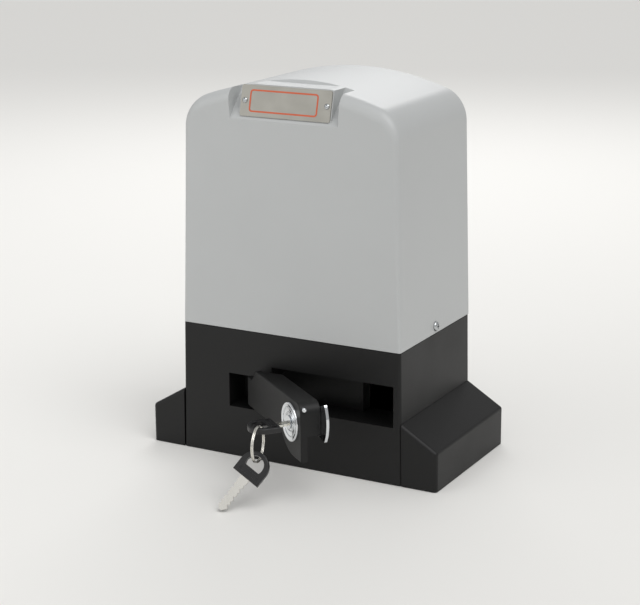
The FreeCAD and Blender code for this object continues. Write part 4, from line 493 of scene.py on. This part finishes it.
# lift is from the middle of the sheet, so the painted line's back lies just under the plate's face
border = {"width": 0.0676, "height": 0.0198, "corner": 0.0030, "band": 0.0014, "thick": 0.00012,
          "left": 0.0020, "lift": 0.00049}
borderMiddle = plateMiddle - Vector((border["left"], 0, 0)) + plateOut * border["lift"]
frameLine = stood(roundedFrame(border), borderMiddle, (1, 0, 0), plateUp, plateOut)
finishPiece(frameLine, "nameplateBorder", "borderPaint", "root")
print("nameplate border made")

plateScrew = {"radius": 0.0025, "rise": 0.0016, "recess": 0.0009, "slotLength": 0.0028, "slotWidth": 0.0006,
              "shank": 0.0016, "shankLength": 0.005, "spacing": 0.081, "lift": 0.00052}
plateSeats = []
for side in (-1, 1):
    offset = Vector((side * plateScrew["spacing"] / 2, 0, 0))
    plateSeats.append((plateMiddle + plateOut * plateScrew["lift"] + offset, plateOut))
screwPair(plateScrew, plateSeats, "nameplateScrewHeads", "nameplate_screws")

sideScrew = {"radius": 0.0043, "rise": 0.0026, "recess": 0.0016, "slotLength": 0.0048, "slotWidth": 0.0011,
             "shank": 0.002, "shankLength": 0.012, "reach": 0.11015}
sideSeats = []
for side in (-1, 1):
    outward = Vector((side, 0, 0))
    sideSeats.append((boxMiddle("cover_screws") + outward * sideScrew["reach"], outward))
screwPair(sideScrew, sideSeats, "coverScrewHeads", "cover_screws")
print("screw heads made")

# split ring: two flat turns side by side, joined by a short cranked stretch; sweep is nearly two turns
splitRing = {"radius": 0.0155, "wire": 0.00066, "halfPitch": 0.00063, "steps": 144, "crank": 10, "cut": 130,
             "sweep": 716}
hangPlace, ringAxis = jointLine("spare_swing")
ringMiddle = boxMiddle("key_ring")
ringAcross = ringAxis.cross(upright)
ringPoints = []
for step in range(splitRing["steps"] + 1):
    around = math.radians(splitRing["cut"] + splitRing["sweep"] * step / splitRing["steps"])
    share = (step - splitRing["steps"] / 2) / splitRing["crank"]
    shift = splitRing["halfPitch"] * max(-1, min(1, share))
    ray = ringAcross * math.cos(around) + upright * math.sin(around)
    ringPoints.append(ringMiddle + ringAxis * shift + ray * splitRing["radius"])
ringCoil = wireForm("splitRing", ringPoints, splitRing["wire"])
finishPiece(ringCoil, "splitRing", "nickelKey", "ring", ["key_ring"])
print("split ring made")

# turned steps round the lock's keyway: thin raised rings on the dished face, measured from the lock's joint
lockPlace, lockOut = jointLine("lock_turn")
lockRight = upright.cross(lockOut)
lockRings = {"outer": {"radius": 0.0128, "wire": 0.0005, "ahead": 0.0118},
             "inner": {"radius": 0.0082, "wire": 0.0007, "ahead": 0.0113}}
madeRings = []
for look in lockRings.values():
    deselectAll()
    bpy.ops.mesh.primitive_torus_add(major_radius=look["radius"], minor_radius=look["wire"],
                                     major_segments=96, minor_segments=16)
    turnedRing = bpy.context.object
    turnedRing.matrix_world = faced(lockPlace + lockOut * look["ahead"], lockOut)
    madeRings.append(turnedRing)
finishPiece(fuse(madeRings), "lockFaceRings", "chromePolished", "lever")

# the locking pin's rounded end stands a little out of the lever's end face
lockPin = {"radius": 0.0020, "length": 0.007, "proud": 0.0007, "round": 0.0010}
deselectAll()
bpy.ops.mesh.primitive_cylinder_add(vertices=48, radius=lockPin["radius"], depth=lockPin["length"])
pin = bpy.context.object
rounding = pin.modifiers.new("rounding", "BEVEL")
rounding.width = lockPin["round"]
rounding.segments = 6
bpy.ops.object.modifier_apply(modifier="rounding")
pin.matrix_world = faced(boxMiddle("lock_pin") + lockRight * lockPin["proud"], lockRight)
finishPiece(pin, "lockPinEnd", "chromePolished", "lever", ["lock_pin"])
print("lock rings and pin end made")

# a raised outline moulded on both sides of each key head: back is from the blade's root to its middle,
# and half is just under half of the head's thickness
headLine = {"width": 0.0190, "height": 0.0048, "corner": 0.0008, "band": 0.0009, "thick": 0.0006,
            "back": 0.0047, "half": 0.00225}
lockedKey = {"ahead": 0.024, "drop": 0.0012}  # of the blade's root, from the lock's joint
spareKey = {"turn": -38, "lean": 43, "spin": -45, "reach": 0.0174}  # reach is from the ring's lowest point
leaning = (Matrix.Rotation(math.radians(spareKey["turn"]), 3, "Z")
           @ Matrix.Rotation(math.radians(-90 - spareKey["lean"]), 3, "X")
           @ Matrix.Rotation(math.radians(spareKey["spin"]), 3, "Y"))
spareRight, spareAhead, spareUp = leaning.transposed()
keyPlaces = {
    "key": (lockPlace + lockOut * lockedKey["ahead"] - upright * lockedKey["drop"],
            lockRight, -lockOut, upright),
    "spare": (hangPlace + spareAhead * spareKey["reach"], spareRight, spareAhead, spareUp),
}
for body, (root, right, ahead, up) in keyPlaces.items():
    lines = []
    for side in (1, -1):
        at = root - ahead * headLine["back"] + up * (side * headLine["half"])
        lines.append(stood(roundedFrame(headLine), at, right * side, ahead, up * side))
    finishPiece(fuse(lines), body + "HeadLine", "keyHeadBlack", body)
print("key head outlines made")

# the wand's return spring is wound round the wand above the switch box, and swings with it
wandSpring = {"above": 0.0045, "height": 0.0235, "radius": 0.0052, "wire": 0.0007, "turns": 10, "steps": 24}
switchMiddle = boxMiddle("limit_switch_box")
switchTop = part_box("limit_switch_box")[1][2]
wandStart = Vector((switchMiddle.x, switchMiddle.y, switchTop + wandSpring["above"]))
wandEnd = wandStart + upright * wandSpring["height"]
wandCoil = coilSpring("wandSpring", wandSpring, wandStart, wandEnd)
finishPiece(wandCoil, "wandSpring", "steelGround", "limit")

# the clutch spring is held by the sleeve at one end and by the shaft's collar at the other
clutchSpring = {"start": (-0.037, 0.0327, 0.0625), "end": (-0.037, 0.0426, 0.0625), "radius": 0.0150,
                "wire": 0.0011, "turns": 4, "steps": 48}
sleeveStart, collarEnd = Vector(clutchSpring["start"]), Vector(clutchSpring["end"])
sleeveSpring = coilSpring("clutchCoil", clutchSpring, sleeveStart, collarEnd)
finishPiece(sleeveSpring, "clutchCoil", "steelGround", None, ["clutch_spring"])
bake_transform(sleeveSpring)
print("springs made")

# pale seamless floor, and a pale background that only the camera sees
studio = {"floorSize": 12, "floorLevel": -0.0005, "floorColour": "E9E8E5", "backdropColour": "F2F1EF",
          "worldColour": "FFFFFF", "worldStrength": 0.42, "aim": (0, 0, 0.17)}
deselectAll()
bpy.ops.mesh.primitive_plane_add(size=studio["floorSize"], location=(0, 0, studio["floorLevel"]))
floor = bpy.context.object
floor.name = "studioFloor"
floorPaper = bpy.data.materials.new("paperSweep")
floorPaper.use_nodes = True
paperTree = floorPaper.node_tree
paperTree.nodes.clear()
paperOut = addNode(paperTree, "ShaderNodeOutputMaterial")
paper = addNode(paperTree, "ShaderNodeBsdfPrincipled",
                {"Base Color": srgb(studio["floorColour"]), "Roughness": 0.9, "Specular IOR Level": 0.2})
paperTree.links.new(paper.outputs["BSDF"], paperOut.inputs["Surface"])
floor.data.materials.append(floorPaper)

world = bpy.data.worlds.new("studioWorld")
bpy.context.scene.world = world
world.use_nodes = True
worldTree = world.node_tree
worldTree.nodes.clear()
worldOut = addNode(worldTree, "ShaderNodeOutputWorld")
seen = addNode(worldTree, "ShaderNodeLightPath")
lit = addNode(worldTree, "ShaderNodeBackground",
              {"Color": srgb(studio["worldColour"]), "Strength": studio["worldStrength"]})
shown = addNode(worldTree, "ShaderNodeBackground", {"Color": srgb(studio["backdropColour"]), "Strength": 1.0})
either = addNode(worldTree, "ShaderNodeMixShader", {}, {"Fac": seen.outputs["Is Camera Ray"]})
worldTree.links.new(lit.outputs["Background"], either.inputs[1])
worldTree.links.new(shown.outputs["Background"], either.inputs[2])
worldTree.links.new(either.outputs["Shader"], worldOut.inputs["Surface"])

# a weak fill from the left, a soft front lamp and a rim lamp behind
lamps = {
    "fillLamp": {"at": (-1.3, -1.4, 0.9), "size": 1.4, "power": 6},
    "frontLamp": {"at": (-0.03, -1.6, 1.15), "size": 1.7, "power": 3},
    "rimLamp": {"at": (-0.6, 1.4, 1.3), "size": 1.0, "power": 9},
}
for name, lamp in lamps.items():
    light = bpy.data.lights.new(name, "AREA")
    light.size = lamp["size"]
    light.energy = lamp["power"]
    holder = bpy.data.objects.new(name, light)
    bpy.context.scene.collection.objects.link(holder)
    holder.location = lamp["at"]
    aim = Vector(studio["aim"]) - Vector(lamp["at"])
    holder.rotation_euler = aim.to_track_quat("-Z", "Y").to_euler()

# the key light, from the upper right, is a wide sun, so the floor stays evenly bright to the horizon
keySun = {"from": (0.9, -0.5, 1.7), "power": 1.5, "spread": 50}
sun = bpy.data.lights.new("keySun", "SUN")
sun.energy = keySun["power"]
sun.angle = math.radians(keySun["spread"])
sunHolder = bpy.data.objects.new("keySun", sun)
bpy.context.scene.collection.objects.link(sunHolder)
sunHolder.rotation_euler = (-Vector(keySun["from"])).to_track_quat("-Z", "Y").to_euler()

cameraPlace = {"at": (0.7519, -1.3817, 0.5707), "turn": 28.79, "down": 15.49, "roll": -0.35, "lens": 100.1,
               "sensor": 36}
cameraData = bpy.data.cameras.new("studioCamera")
cameraData.lens = cameraPlace["lens"]
cameraData.sensor_width = cameraPlace["sensor"]
camera = bpy.data.objects.new("studioCamera", cameraData)
bpy.context.scene.collection.objects.link(camera)
turned = Matrix.Rotation(math.radians(cameraPlace["turn"]), 4, "Z")
tilted = Matrix.Rotation(math.radians(90 - cameraPlace["down"]), 4, "X")
rolled = Matrix.Rotation(math.radians(cameraPlace["roll"]), 4, "Z")
camera.matrix_world = Matrix.Translation(cameraPlace["at"]) @ turned @ tilted @ rolled
bpy.context.scene.camera = camera
bpy.context.scene.view_settings.view_transform = "Standard"
print("studio set")
